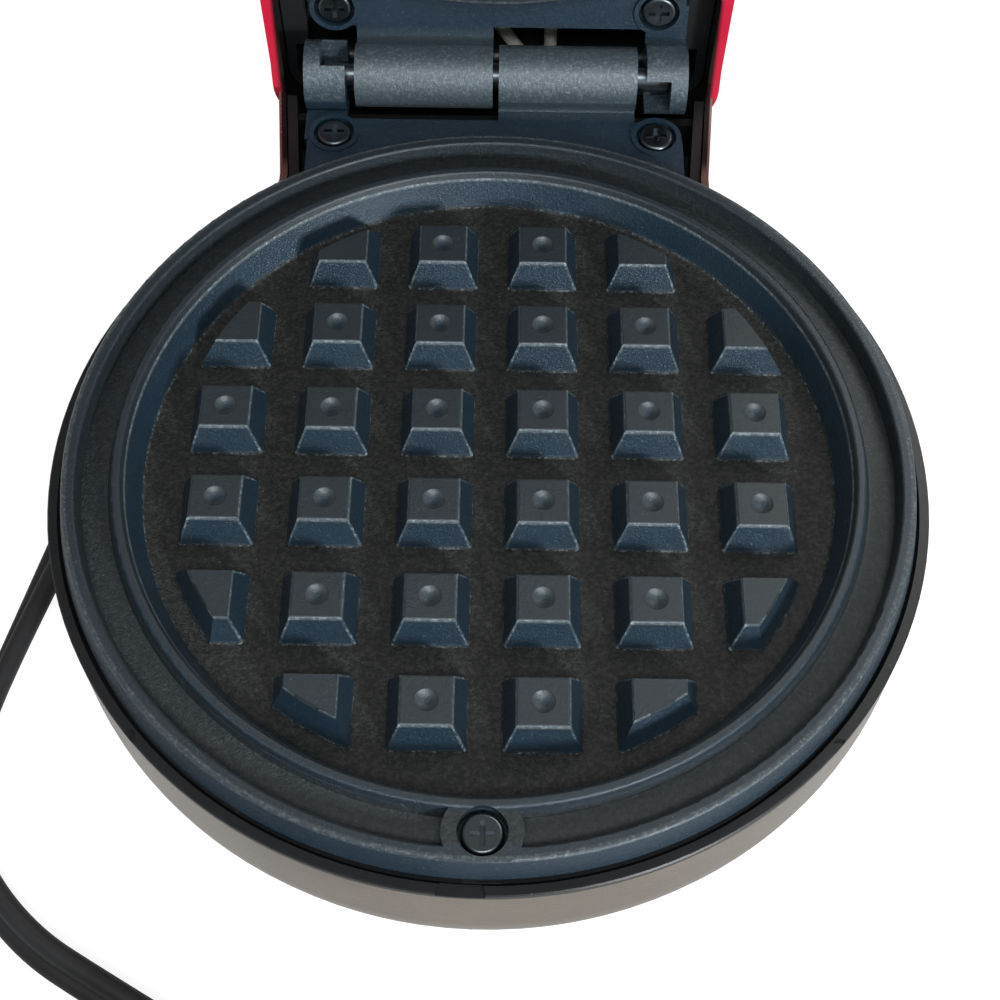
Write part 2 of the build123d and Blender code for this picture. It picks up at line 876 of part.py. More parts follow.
with BuildPart() as thermostat:
    with BuildSketch(Plane.XY.offset(thermostat_top)):
        with Locations((0, thermostat_y)):
            Circle(thermostat_radius)
    extrude(amount=-thermostat_height)
    with BuildSketch(Plane.XY.offset(thermostat_top)):
        with Locations((0, thermostat_y)):
            SlotCenterToCenter(2 * thermostat_screw_x, 2 * thermostat_flange_radius)
            with GridLocations(2 * thermostat_screw_x, 1, 2, 1):
                Circle(hole_radius, mode=Mode.SUBTRACT)
    extrude(amount=-thermostat_flange_thickness)
    with BuildSketch(Plane.XY.offset(thermostat_bottom)):
        with Locations((0, thermostat_y)):
            with GridLocations(blade_gap, 1, 2, 1):
                Circle(terminal_radius)
    extrude(amount=-terminal_radius)

with BuildPart() as thermostat_screws:
    with Locations((0, thermostat_y, thermostat_top - thermostat_flange_thickness - seat_gap)):
        with GridLocations(2 * thermostat_screw_x, 1, 2, 1):
            add(Rot(180, 0, 0) * thermostat_screw)

with BuildPart() as thermal_fuse:
    with BuildSketch(Plane.XZ.offset(-fuse_y + fuse_length / 2)):
        with Locations((fuse_x, wire_level)):
            Circle(fuse_radius)
    extrude(amount=-fuse_length)

with BuildPart() as wire_connectors:
    with BuildSketch(Plane.XZ.offset(-connector_y + connector_length / 2)):
        with Locations((0, wire_level)):
            with GridLocations(connector_pitch, 1, 3, 1):
                Circle(connector_radius)
    extrude(amount=-connector_length)
    fillet(wire_connectors.edges().filter_by(GeomType.CIRCLE), connector_radius / 6)


connector_front = connector_y - connector_length / 2 - wire_end_gap
connector_back = connector_y + connector_length / 2 + wire_end_gap
fuse_front = fuse_y - fuse_length / 2 - wire_end_gap
fuse_back = fuse_y + fuse_length / 2 + wire_end_gap
pin_end = bend_y + leg_length + terminal_length + wire_end_gap
blade_end = thermostat_bottom - terminal_radius - wire_end_gap
stub_end = neck_end - relief_inner
supply_start = stub_end - wire_end_gap
neutral_x = cord_exit_x + supply_pitch / 2
live_x = cord_exit_x - supply_pitch / 2
blade_x = blade_gap / 2
crossing_left = crossing_x - crossing_pitch / 2
crossing_right = crossing_x + crossing_pitch / 2
riser_y = connector_back + riser_run
upper_level = 2 * parting_height - element_level

base_wire_routes = [
    # supply to the right connector, and from there to the element's right pin
    [
        (neutral_x, supply_start, cord_exit_z),
        (neutral_x, supply_start - supply_run, cord_exit_z),
        (connector_pitch + supply_run, supply_start - supply_reach, cord_exit_z),
        (connector_pitch + wire_beside, connector_back + wire_run, wire_level),
        (connector_pitch + wire_beside, connector_back, wire_level),
    ],
    [
        (connector_pitch - wire_beside, connector_back, wire_level),
        (connector_pitch - wire_beside, riser_y, wire_level),
        (leg_x, riser_y, element_level),
        (leg_x, pin_end, element_level),
    ],
    # supply to the left connector, through thermostat and fuse to the middle connector
    [
        (live_x, supply_start, cord_exit_z),
        (live_x, supply_start - live_run, cord_exit_z),
        (connector_pitch, supply_start - live_reach, cord_exit_z + wire_radius),
        (wire_run - connector_pitch, supply_start - live_reach, cord_exit_z + wire_radius),
        (-connector_pitch, connector_back + 1.5 * wire_run, wire_level),
        (-connector_pitch, connector_back, wire_level),
    ],
    [
        (-connector_pitch, connector_front, wire_level),
        (-connector_pitch, connector_front - 2 * wire_run, wire_level),
        (-blade_x, thermostat_y, wire_level),
        (-blade_x, thermostat_y, blade_end),
    ],
    [
        (blade_x, thermostat_y, blade_end),
        (blade_x, thermostat_y, wire_level),
        (blade_x, fuse_front - 1.5 * wire_run, wire_level),
        (fuse_x, fuse_front - 1.5 * wire_run, wire_level),
        (fuse_x, fuse_front, wire_level),
    ],
    [
        (fuse_x, fuse_back, wire_level),
        (fuse_x, fuse_back + wire_run, wire_level),
        (0, connector_front - wire_run, wire_level),
        (0, connector_front, wire_level),
    ],
    # out to the lid, from the middle connector and from the element's left pin
    [
        (0, connector_back, wire_level),
        (0, connector_back + wire_run, wire_level),
        (crossing_right, connector_back + 2 * wire_run, (element_level + wire_level) / 2),
        (crossing_right, crossing_start - wire_run, crossing_level - crossing_dip),
        (crossing_right, crossing_start, crossing_level),
    ],
    [
        (-leg_x, pin_end, element_level),
        (-leg_x, riser_y, element_level),
        (crossing_left, crossing_start - wire_run, crossing_level - crossing_dip),
        (crossing_left, crossing_start, crossing_level),
    ],
]

with BuildPart() as base_leads:
    for route in base_wire_routes:
        add(tube(route, wire_radius, wire_bend))


# Lid housing, modelled shut

lid_rim = parting_height + lid_rim_gap
lid_side_top = lid_rim + lid_side_height
dome_rise = closed_height - lid_side_top
dome_edge = lid_radius - lid_corner
dome_radius = (dome_edge**2 + dome_rise**2 - lid_corner**2) / (2 * (dome_rise - lid_corner))
dome_centre = closed_height - dome_radius
corner_turn = degrees(atan2(lid_side_top - dome_centre, dome_edge))


def lid_form(inset, rim):
    """The lid's domed round cover with its neck, solid, smaller by an inset, down to rim."""
    with BuildPart() as form:
        with BuildSketch(Plane.XY.offset(rim)):
            add(
                neck_plan(
                    lid_neck_front_half - inset,
                    lid_neck_back_half - inset,
                    hinge_y + lid_back - inset,
                    lid_neck_corner - inset,
                )
            )
        extrude(amount=lid_rim + lid_neck_height - inset - rim)
        fillet(form.faces().sort_by(Axis.Z)[-1].edges(), lid_neck_round - inset)
        with BuildSketch(Plane.XZ):
            with BuildLine() as side:
                Line((lid_radius - inset, rim), (lid_radius - inset, lid_side_top))
                JernArc(side.edges()[-1] @ 1, (0, 1), lid_corner - inset, corner_turn)
                JernArc(
                    side.edges()[-1] @ 1,
                    side.edges()[-1] % 1,
                    dome_radius - inset,
                    90 - corner_turn,
                )
                Polyline(
                    side.edges()[-1] @ 1,
                    (0, rim),
                    (lid_radius - inset, rim),
                )
            make_face()
        revolve(axis=Axis.Z)
    return form.part


ring_low = 2 * parting_height - land_top
ring_high = ring_low + lid_ring_height
upper_front_post = 2 * parting_height - front_post_top
upper_tail_post = 2 * parting_height - tail_post_top
prong_bottom = ring_low + lug_thickness + 2 * liner_gap + seat_gap
prong_end = prong_length - lid_radius
handle_screw_y = prong_end - handle_screw_inset
dome_z = dome_centre + sqrt(dome_radius**2 - lens_y**2)
lens_plane = Plane(
    origin=(0, lens_y, dome_z), x_dir=(1, 0, 0), z_dir=(0, lens_y, dome_z - dome_centre)
)

with BuildPart() as lid_bosses:
    with BuildSketch(Plane.XY.offset(ring_high + seat_gap)):
        with PolarLocations(lid_screw_circle, 4, 45):
            Circle(post_radius)
    extrude(amount=closed_height - ring_high)
    add(lid_form(lid_wall / 2, lid_rim), mode=Mode.INTERSECT)
    with BuildSketch(Plane.XY.offset(ring_high)):
        with PolarLocations(lid_screw_circle, 4, 45):
            Circle(pilot_radius)
    extrude(amount=screw_length - lug_thickness, mode=Mode.SUBTRACT)

with BuildPart() as lid_shell:
    add(lid_form(0, lid_rim))
    add(lid_form(lid_wall, 0), mode=Mode.SUBTRACT)
    add(lid_bosses.part)
    with BuildSketch(lens_plane.offset(-2 * lid_wall)):
        Circle(lens_radius + pin_clearance)
    extrude(amount=3 * lid_wall, mode=Mode.SUBTRACT)
    with Locations((0, -lid_radius, prong_bottom + prong_thickness / 2)):
        with GridLocations(2 * prong_x, 1, 2, 1):
            Box(
                prong_width + liner_gap,
                lid_corner,
                prong_thickness + liner_gap,
                mode=Mode.SUBTRACT,
            )

lid_inner_half = lid_neck_back_half - lid_ring_inset - liner_wall / 2

with BuildPart() as lid_webs:
    # rib of the front post, lugs for the cover's screws and lugs under the handle's prongs
    with BuildSketch(Plane.XY.offset(upper_front_post)):
        with Locations((0, (front_screw_y - lid_radius) / 2)):
            Rectangle(rib_width, lid_radius + front_screw_y)
    extrude(amount=ring_high - upper_front_post)
    with BuildSketch(Plane.XY.offset(ring_high)):
        with PolarLocations((lid_radius + lid_screw_circle - post_radius) / 2, 4, 45):
            Rectangle(lid_radius - lid_screw_circle + post_radius, lug_width)
        with PolarLocations(lid_screw_circle, 4, 45):
            Circle(hole_radius, mode=Mode.SUBTRACT)
    extrude(amount=-lug_thickness)
    with BuildSketch(Plane.XY.offset(prong_bottom - seat_gap)):
        with Locations((0, (prong_end - handle_lug_setback - lid_radius) / 2)):
            with GridLocations(2 * prong_x, 1, 2, 1):
                Rectangle(prong_width, lid_radius + prong_end - handle_lug_setback)
    extrude(amount=-lug_thickness)
    add(lid_form(lid_ring_inset + liner_wall / 2, ring_low), mode=Mode.INTERSECT)

with BuildPart() as lid_ring:
    add(lid_form(lid_ring_inset, ring_low))
    add(lid_form(lid_ring_inset + liner_wall, 0), mode=Mode.SUBTRACT)
    with Locations((0, 0, ring_high + closed_height / 2)):
        Box(2 * neck_end, 2 * neck_end, closed_height, mode=Mode.SUBTRACT)
    # flanges that close the gap beside the plate's tail
    flange_inner = tail_half_width + groove_width
    flange_middle = (flange_inner + lid_inner_half) / 2
    with BuildSketch(Plane.XY.offset(ring_low)):
        with Locations((0, (neck_start + neck_step) / 2)):
            with GridLocations(2 * flange_middle, 1, 2, 1):
                Rectangle(lid_inner_half - flange_inner, neck_step - neck_start)
        Circle(plate_edge + groove_width, mode=Mode.SUBTRACT)
    extrude(amount=liner_wall)
    # posts for the plate's screws
    with BuildSketch(Plane.XY.offset(upper_front_post)):
        with Locations((0, front_screw_y)):
            Circle(post_radius)
    extrude(amount=ring_high - upper_front_post)
    add(lid_webs.part)
    with BuildSketch(Plane.XY.offset(ring_low)):
        Circle(gutter_radius + web_foot + cross_wall_clearance)
        with Locations((0, neck_end - front_boss_radius)):
            Rectangle(2 * neck_end, 2 * neck_end, mode=Mode.SUBTRACT)
    post_cut = parting_height + underside_drop + cross_wall_clearance - ring_low
    extrude(amount=post_cut, mode=Mode.SUBTRACT)
    tail_post_height = lid_rim + lid_neck_height - lid_ring_inset - liner_wall - upper_tail_post
    with BuildSketch(Plane.XY.offset(upper_tail_post)):
        with Locations(*tail_points):
            Circle(post_radius)
    extrude(amount=tail_post_height)
    with BuildSketch(Plane.XY.offset(upper_tail_post + rib_height / 2)):
        with Locations((0, tail_screw_y)):
            with GridLocations(tail_screw_x + lid_inner_half, 1, 2, 1):
                Rectangle(lid_inner_half - tail_screw_x, rib_width)
    extrude(amount=rib_height)
    # pilot holes
    with BuildSketch(Plane.XY.offset(upper_front_post)):
        with Locations((0, front_screw_y)):
            Circle(pilot_radius)
    extrude(amount=front_pilot_depth, mode=Mode.SUBTRACT)
    with BuildSketch(Plane.XY.offset(upper_tail_post)):
        with Locations(*tail_points):
            Circle(pilot_radius)
    extrude(amount=tail_pilot_depth, mode=Mode.SUBTRACT)
    with BuildSketch(Plane.XY.offset(prong_bottom)):
        with Locations((0, handle_screw_y)):
            with GridLocations(2 * prong_x, 1, 2, 1):
                Circle(handle_screw_shank + pilot_clearance)
    extrude(amount=-lug_thickness, mode=Mode.SUBTRACT)
    # slots for the handle's prongs, and the place where the wires come in
    with Locations((0, -lid_radius, prong_bottom + prong_thickness / 2)):
        with GridLocations(2 * prong_x, 1, 2, 1):
            Box(
                prong_width + liner_gap,
                lid_corner,
                prong_thickness + liner_gap,
                mode=Mode.SUBTRACT,
            )
    with Locations((crossing_x, hinge_y + lid_back, ring_low)):
        Box(
            crossing_notch,
            lid_back,
            2 * (upper_level + 2 * wire_radius - ring_low),
            mode=Mode.SUBTRACT,
        )

with BuildPart() as lid_screws:
    with PolarLocations(lid_screw_circle, 4, 45):
        with Locations((0, 0, ring_high - lug_thickness - seat_gap)):
            add(upward_screw)

with BuildPart() as lid_handle:
    handle_end = lid_radius + handle_reach
    with BuildSketch(Plane.XY.offset(handle_bottom)) as handle_plan:
        with Locations((0, -(handle_end + lid_radius - lid_corner) / 2)):
            Rectangle(handle_width, handle_reach + lid_corner)
        fillet(handle_plan.vertices().group_by(Axis.Y)[0], handle_corner)
    extrude(amount=handle_thickness)
    fillet(lid_handle.faces().sort_by(Axis.Z)[0].edges(), handle_round)
    fillet(lid_handle.faces().sort_by(Axis.Z)[-1].edges(), handle_round)
    with BuildSketch(Plane.XY.offset(handle_bottom)):
        Circle(lid_radius + seat_gap)
    extrude(amount=handle_thickness, mode=Mode.SUBTRACT)
    with BuildSketch(Plane.XY.offset(prong_bottom)):
        with Locations((0, prong_end - (prong_length + handle_reach / 2) / 2)):
            with GridLocations(2 * prong_x, 1, 2, 1):
                Rectangle(prong_width, prong_length + handle_reach / 2)
    extrude(amount=prong_thickness)
    with BuildSketch(Plane.XY.offset(prong_bottom)):
        with Locations((0, handle_screw_y)):
            with GridLocations(2 * prong_x, 1, 2, 1):
                Circle(handle_screw_shank + hole_clearance)
    extrude(amount=prong_thickness, mode=Mode.SUBTRACT)

with BuildPart() as lid_handle_screws:
    with Locations((0, handle_screw_y, prong_bottom + prong_thickness + seat_gap)):
        with GridLocations(2 * prong_x, 1, 2, 1):
            add(handle_screw)

with BuildPart() as indicator_lens:
    with BuildSketch(lens_plane.offset(-lens_depth)):
        Circle(lens_radius)
    extrude(amount=lens_depth + lens_rise)
    fillet(indicator_lens.faces().sort_by(Axis.Z)[-1].edges(), lens_rise * 0.6)
    with BuildSketch(lens_plane.offset(-lid_wall - 2 * liner_gap)):
        Circle(lens_radius + lens_flange)
    extrude(amount=-lens_flange)
    with BuildSketch(lens_plane.offset(-lens_depth)):
        Circle(lamp_radius + hole_clearance)
    extrude(amount=lens_depth - lens_roof, mode=Mode.SUBTRACT)

lamp_top = -lens_roof - lamp_gap

with BuildPart() as indicator_lamp:
    with BuildSketch(lens_plane.offset(lamp_top)):
        Circle(lamp_radius)
    extrude(amount=-lamp_length)
    fillet(indicator_lamp.faces().sort_by(Axis.Z)[-1].edges(), lamp_radius / 3)

crossing_back = hinge_y + crossing_radius
crossing_top = hinge_z + crossing_radius + crossing_rise
lamp_bottom = lamp_top - lamp_length - wire_end_gap
pin_side = leg_x + terminal_radius + wire_radius + wire_end_gap
pin_middle = pin_end - terminal_length / 2

with BuildPart() as lid_leads:
    for side, x in ((-1, crossing_left), (1, crossing_right)):
        route = [
            (x, crossing_back, crossing_top),
            (x, crossing_back, upper_level),
            (side * leg_x, pin_end + 1.5 * wire_run, upper_level),
            (side * leg_x, pin_end, upper_level),
        ]
        add(tube(route, wire_radius, wire_bend))
        lamp_end = lens_plane.from_local_coords((side * wire_beside, 0, lamp_bottom))
        lamp_turn = lens_plane.from_local_coords(
            (side * wire_beside, 0, lamp_bottom - wire_run)
        )
        route = [
            (side * pin_side, pin_middle, upper_level),
            (side * (pin_side + wire_run), pin_middle, upper_level),
            (side * lamp_wire_x, pin_middle, upper_level + lamp_wire_rise),
            tuple(lamp_turn),
            tuple(lamp_end),
        ]
        add(tube(route, wire_radius, wire_bend))


# Strain relief, clamp and power lead

flange_front = neck_end - relief_groove - relief_flange_width

with BuildPart() as cord_relief:
    with BuildSketch(Plane.YZ.offset(cord_exit_x)):
        with BuildLine():
            Polyline(
                (stub_end, cord_exit_z),
                (stub_end, cord_exit_z + relief_tail),
                (flange_front, cord_exit_z + relief_tail),
                (flange_front, cord_exit_z + relief_flange),
                (neck_end - relief_groove, cord_exit_z + relief_flange),
                (neck_end - relief_groove, cord_exit_z + relief_waist),
                (neck_end + seat_gap, cord_exit_z + relief_waist),
                (neck_end + seat_gap, cord_exit_z + relief_radius),
                (neck_end + relief_length, cord_exit_z + relief_tip),
                (neck_end + relief_length, cord_exit_z + cord_diameter / 2 + pin_clearance),
                (neck_end + relief_solid, cord_exit_z + cord_diameter / 2 + pin_clearance),
                (neck_end + relief_solid, cord_exit_z),
                close=True,
            )
        make_face()
    revolve(axis=Axis((cord_exit_x, 0, cord_exit_z), (0, 1, 0)))

clamp_top = cord_exit_z - relief_tail - seat_gap

with BuildPart() as cord_clamp:
    with BuildSketch(Plane.XY.offset(clamp_top)):
        with Locations((cord_exit_x, clamp_y)):
            SlotOverall(clamp_width, clamp_depth)
            with GridLocations(clamp_screw_pitch, 1, 2, 1):
                Circle(hole_radius, mode=Mode.SUBTRACT)
    extrude(amount=-clamp_height)

with BuildPart() as cord_clamp_screws:
    with Locations((cord_exit_x, clamp_y, clamp_top - clamp_height - seat_gap)):
        with GridLocations(clamp_screw_pitch, 1, 2, 1):
            add(upward_screw)


def arc_radii(points):
    """For each corner the largest arc that its two runs allow."""
    radii = []
    for before, corner, after in zip(points, points[1:], points[2:]):
        arrive = Vector(*corner) - Vector(*before)
        leave = Vector(*after) - Vector(*corner)
        half_turn = radians(arrive.get_angle(leave) / 2)
        radii.append(0.45 * min(arrive.length, leave.length) / tan(half_turn))
    return radii


def heading(angle):
    """Unit direction along the table."""
    return Vector(cos(radians(angle)), sin(radians(angle)), 0)


lead_radii = arc_radii(cord_route)
print("lead radii", [round(radius) for radius in lead_radii])

with BuildPart() as cord_lead:
    with BuildLine() as lead_path:
        FilletPolyline(*cord_route, radius=lead_radii)
    with BuildSketch(Plane(lead_path.wire() @ 0, z_dir=lead_path.wire() % 0)):
        Circle(cord_diameter / 2)
    sweep()

lead_length = lead_path.wire().length
print("lead length", round(lead_length), "volume ratio", cord_lead.part.volume
      / (lead_length * pi * cord_diameter**2 / 4))

# The coil winds in on the table, climbs one layer in the half turn where it reverses, and
# winds out again on top.
along = heading(coil_heading)
across = heading(coil_heading - 90)
layer_rise = Vector(0, 0, coil_layer)
climb_radius = coil_radius - coil_step
wind_start = Vector(*cord_route[-1]) + along * coil_entry
climb_start = wind_start + across * 2 * coil_radius
climb_centre = climb_start - across * climb_radius
climb_middle = climb_centre - along * hypot(climb_radius, coil_layer / 2) + layer_rise / 2
climb_end = climb_centre - across * climb_radius + layer_rise

tail_route = []
corner = climb_end + across * 2 * coil_radius - across * 2 * (coil_radius + coil_step)
tail_route.append(corner)
for run, angle, level in tail_runs:
    corner = corner + heading(angle) * run
    corner = Vector(corner.X, corner.Y, level)
    tail_route.append(corner)
tail_radii = arc_radii([tuple(point) for point in tail_route])
print("tail radii", [round(radius) for radius in tail_radii])

with BuildPart() as cord_coil:
    with BuildLine() as coil_path:
        Line(cord_route[-1], wind_start)
        JernArc(wind_start, along, coil_radius, -180)
        first_climb = TangentArc(climb_start, climb_middle, tangent=-along)
        TangentArc(climb_middle, climb_end, tangent=first_climb % 1)
        JernArc(climb_end, along, coil_radius, -180)
        JernArc(climb_end + across * 2 * coil_radius, -along, coil_radius + coil_step, -180)
        FilletPolyline(*tail_route, radius=tail_radii)
    with BuildSketch(Plane(coil_path.wire() @ 0, z_dir=coil_path.wire() % 0)):
        Circle(cord_diameter / 2)
    sweep()

coil_length = coil_path.wire().length
print("coil length", round(coil_length), "volume ratio", cord_coil.part.volume
      / (coil_length * pi * cord_diameter**2 / 4))
print("whole lead", round(lead_length + coil_length))

samples = 480
step = coil_length / samples
spots = [tuple(coil_path.wire() @ (count / samples)) for count in range(samples + 1)]
apart = int(4 * cord_diameter / step)
gaps = [
    hypot(*(one - other for one, other in zip(spots[first], spots[second])))
    for first in range(samples)
    for second in range(first + apart, samples + 1)
]
print("least gap between turns", round(min(gaps) - cord_diameter, 2))

plug_plane = Plane(
    origin=tail_route[-1],
    x_dir=heading(tail_runs[-1][1] + 90),
    z_dir=heading(tail_runs[-1][1]),
)

with BuildPart() as plug_body:
    with BuildSketch(plug_plane):
        RectangleRounded(plug_neck, plug_neck, plug_neck / 3)
    with BuildSketch(plug_plane.offset(plug_neck_length)):
        RectangleRounded(plug_width, plug_thickness - 2 * seat_gap, plug_round)
    loft()
    with BuildSketch(plug_plane.offset(plug_neck_length)):
        RectangleRounded(plug_width, plug_thickness - 2 * seat_gap, plug_round)
    extrude(amount=plug_length - plug_neck_length)

with BuildPart() as plug_blades:
    with BuildSketch(plug_plane.offset(plug_length)):
        with GridLocations(blade_spacing, 1, 2, 1):
            Rectangle(blade_thickness, blade_width)
    extrude(amount=blade_length)
    blade_side = Plane(
        origin=plug_plane.from_local_coords((0, 0, plug_length + blade_length - 2 * blade_hole)),
        z_dir=plug_plane.x_dir,
    )
    with BuildSketch(blade_side):
        Circle(blade_hole)
    extrude(amount=plug_width / 2, both=True, mode=Mode.SUBTRACT)


# Export, with the lid's pieces swung open

base_pieces = {
    "lower_plate": lower_plate,
    "lower_plate_screws": lower_plate_screws.part,
    "hinge_pin": hinge_pin.part,
    "base_ring": base_ring.part,
    "base_shell": base_shell.part,
    "base_screws": base_screws.part,
    "feet": feet.part,
    "lower_element": lower_element.part,
    "lower_terminals": lower_terminals.part,
    "lower_element_clip": lower_element_clip.part,
    "lower_reflector": lower_reflector.part,
    "lower_reflector_screw": lower_reflector_screw.part,
    "thermostat": thermostat.part,
    "thermostat_screws": thermostat_screws.part,
    "thermal_fuse": thermal_fuse.part,
    "wire_connectors": wire_connectors.part,
    "base_leads": base_leads.part,
    "cord_relief": cord_relief.part,
    "cord_clamp": cord_clamp.part,
    "cord_clamp_screws": cord_clamp_screws.part,
    "cord_lead": cord_lead.part,
    "cord_coil": cord_coil.part,
    "plug_body": plug_body.part,
    "plug_blades": plug_blades.part,
}
lid_pieces = {
    "upper_plate": upper_plate,
    "upper_plate_screws": upper_plate_screws,
    "lid_ring": lid_ring.part,
    "lid_shell": lid_shell.part,
    "lid_screws": lid_screws.part,
    "lid_handle": lid_handle.part,
    "lid_handle_screws": lid_handle_screws.part,
    "indicator_lens": indicator_lens.part,
    "indicator_lamp": indicator_lamp.part,
    "upper_element": upper_element,
    "upper_terminals": upper_terminals,
    "upper_element_clip": upper_element_clip,
    "upper_reflector": upper_reflector,
    "upper_reflector_screw": upper_reflector_screw,
    "lid_leads": lid_leads.part,
}

os.makedirs("parts", exist_ok=True)
for label, piece in base_pieces.items():
    piece.label = label
    export_step(piece, f"parts/{label}.step")
for label, piece in lid_pieces.items():
    opened = swung_open(piece)
    opened.label = label
    export_step(opened, f"parts/{label}.step")
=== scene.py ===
# %% [markdown]
# # A mini waffle maker, standing open
#
# The solid model arrives as a fixed frame: every casting, screw and cover is already in its
# place, in metres, with the origin on the table under the lower cooking plate. What is left for
# Blender is the way things look: the camera, the power lead, the finishes and the studio.
#

# %% Load the frame
from math import cos, pi, radians, sin
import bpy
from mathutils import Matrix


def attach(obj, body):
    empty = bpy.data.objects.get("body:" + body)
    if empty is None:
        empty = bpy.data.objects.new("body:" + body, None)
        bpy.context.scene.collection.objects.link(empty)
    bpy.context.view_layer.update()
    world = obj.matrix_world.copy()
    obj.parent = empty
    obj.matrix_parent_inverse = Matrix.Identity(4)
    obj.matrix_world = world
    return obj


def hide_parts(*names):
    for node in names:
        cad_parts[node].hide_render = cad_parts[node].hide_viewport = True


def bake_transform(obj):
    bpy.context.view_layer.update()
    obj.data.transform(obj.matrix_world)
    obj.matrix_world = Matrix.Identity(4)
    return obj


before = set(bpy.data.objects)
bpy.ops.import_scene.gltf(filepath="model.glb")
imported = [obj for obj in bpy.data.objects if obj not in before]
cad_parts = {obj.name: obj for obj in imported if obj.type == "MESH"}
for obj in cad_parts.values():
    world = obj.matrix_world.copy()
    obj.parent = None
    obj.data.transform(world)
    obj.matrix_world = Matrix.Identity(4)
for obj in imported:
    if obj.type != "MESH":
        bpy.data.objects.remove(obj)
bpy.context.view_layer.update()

from types import SimpleNamespace

import bmesh
import bpy
from mathutils import Matrix, Vector

mm = 0.001

# %% [markdown]
# ## The camera
#
# The photograph looks down on the plate from the front, at about sixty degrees. A camera can be
# aimed with a constraint, but a matrix says exactly where its right, up and backward directions
# point, including the slight roll of a hand-held camera. The view was solved from the grid of
# pegs, so the lens is given as a focal length in pixels of the square picture.

# %% Camera
picture_size = 1000
focal_pixels = 1676.65
camera_place = Vector((1.4, -129.3, 235.2)) * mm
camera_right = Vector((0.9999, 0.0118, 0.0082))
camera_up = Vector((-0.0143, 0.8569, 0.5153))

camera_data = bpy.data.cameras.new("camera")
camera_data.sensor_fit = "HORIZONTAL"
camera_data.lens = camera_data.sensor_width * focal_pixels / picture_size
camera_data.clip_start = 10 * mm
camera = bpy.data.objects.new("camera", camera_data)
bpy.context.scene.collection.objects.link(camera)
camera_back = camera_right.cross(camera_up).normalized()
camera.matrix_world = Matrix.Translation(camera_place) @ Matrix(
    (camera_right, camera_up, camera_back)
).transposed().to_4x4()
bpy.context.scene.camera = camera
print("lens", round(camera_data.lens, 2), "mm")

# %% [markdown]
# ## The power lead
#
# A flat twin lead is two insulated wires side by side with a groove between them. It leaves the
# back of the base through a strain relief, drops to the table, comes forward on the left and
# ends in a small coil with its plug. A tube would lose the groove that catches the light, so a
# figure-of-eight outline is carried along the curve instead. The curve is one NURBS spline of
# order 3, whose points are the corners of the route: it rounds them by itself.
#
# Behind the base the lead lies flat. Beside it the lead has rolled half onto its edge, which is a
# tilt given to each point, and its middle lies higher there.

# %% Route of the lead
neck_end = 86.0
relief_solid = 11.0
exit_x = 20.0
exit_z = 12.5
strand_radius = 1.6
lead_roll = 58.0
lying_z = strand_radius + 0.1
flat_z = strand_radius * (1 + sin(radians(lead_roll)))

lead_points = [
    (exit_x, neck_end + relief_solid, exit_z),
    (exit_x, 115.0, exit_z),
    (9.4, 129.6, 10.8),
    (-7.7, 135.1, 7.6),
    (-24.8, 129.6, 4.5),
    (-32.5, 113.0, lying_z),
    (-34.6, 94.0, lying_z),
    (-35.6, 78.0, lying_z),
    (-42.5, 64.5, lying_z),
    (-50.6, 53.5, lying_z),
    (-58.0, 37.0, flat_z),
    (-64.5, 12.0, flat_z),
    (-71.5, -14.0, flat_z),
    (-76.3, -33.5, flat_z),
    (-74.5, -49.5, flat_z),
    (-64.5, -62.0, flat_z),
    (-51.1, -69.75, flat_z),
]
print("the route has", len(lead_points), "points")

# %% [markdown]
# The length that the picture doesn't show is put away in two turns, one on the table and one on
# top of it. A spline of order 3 runs inside its control points, by the cosine of half the step
# between them squared, so the points stand on a slightly larger circle.

# %% Half a turn of the coil
coil_entry = 28.8
coil_heading = radians(-30)
coil_radius = 36.0
coil_step = 2.8
layer_rise = 5.7
points_per_half = 8
upper_layer = flat_z + layer_rise

along = Vector((cos(coil_heading), sin(coil_heading), 0))
across = Vector((along.y, -along.x, 0))


def half_turn(centre, radius, side, low, high):
    """Control points of half a turn, clockwise from above, rising from low to high."""
    step = pi / points_per_half
    outside = radius / cos(step / 2) ** 2
    found = []
    for count in range(points_per_half):
        turn = step * (count + 0.5)
        spot = centre - across * side * outside * cos(turn) + along * side * outside * sin(turn)
        level = low + (high - low) * (1 - cos(turn)) / 2
        found.append((spot.x, spot.y, level))
    return found


# %% Turns of the coil, and the end with the plug
coil_points = []
place = Vector(lead_points[-1]) + along * coil_entry
for radius, side, low, high in (
    (coil_radius, 1, flat_z, flat_z),
    (coil_radius - coil_step, -1, flat_z, upper_layer),
    (coil_radius, 1, upper_layer, upper_layer),
    (coil_radius + coil_step, -1, upper_layer, upper_layer),
):
    centre = place + across * side * radius
    coil_points += half_turn(centre, radius, side, low, high)
    place = place + across * side * 2 * radius

# the runs of the end: length, heading in degrees and the height that it comes to
plug_level = 6.25
tail_points = [(place.x, place.y, upper_layer)]
tail_runs = ((18.0, -30.0, upper_layer), (16.0, -45.0, plug_level), (14.0, -60.0, plug_level))
for run, angle, level in tail_runs:
    place = place + Vector((cos(radians(angle)), sin(radians(angle)), 0)) * run
    tail_points.append((place.x, place.y, level))
print("the coil has", len(coil_points), "points")

# %% [markdown]
# The outline is drawn as a closed curve of its own, hidden from the render, and handed to the
# lead as its bevel object. Twist mode Z Up keeps the outline level before the tilt is added. The
# outline is drawn in millimetres and each point of the lead has a radius of a thousandth, because
# Blender adds that radius to the curve's bounding box.

# %% Figure-of-eight outline
outline_points = 20
groove_opening = radians(28)


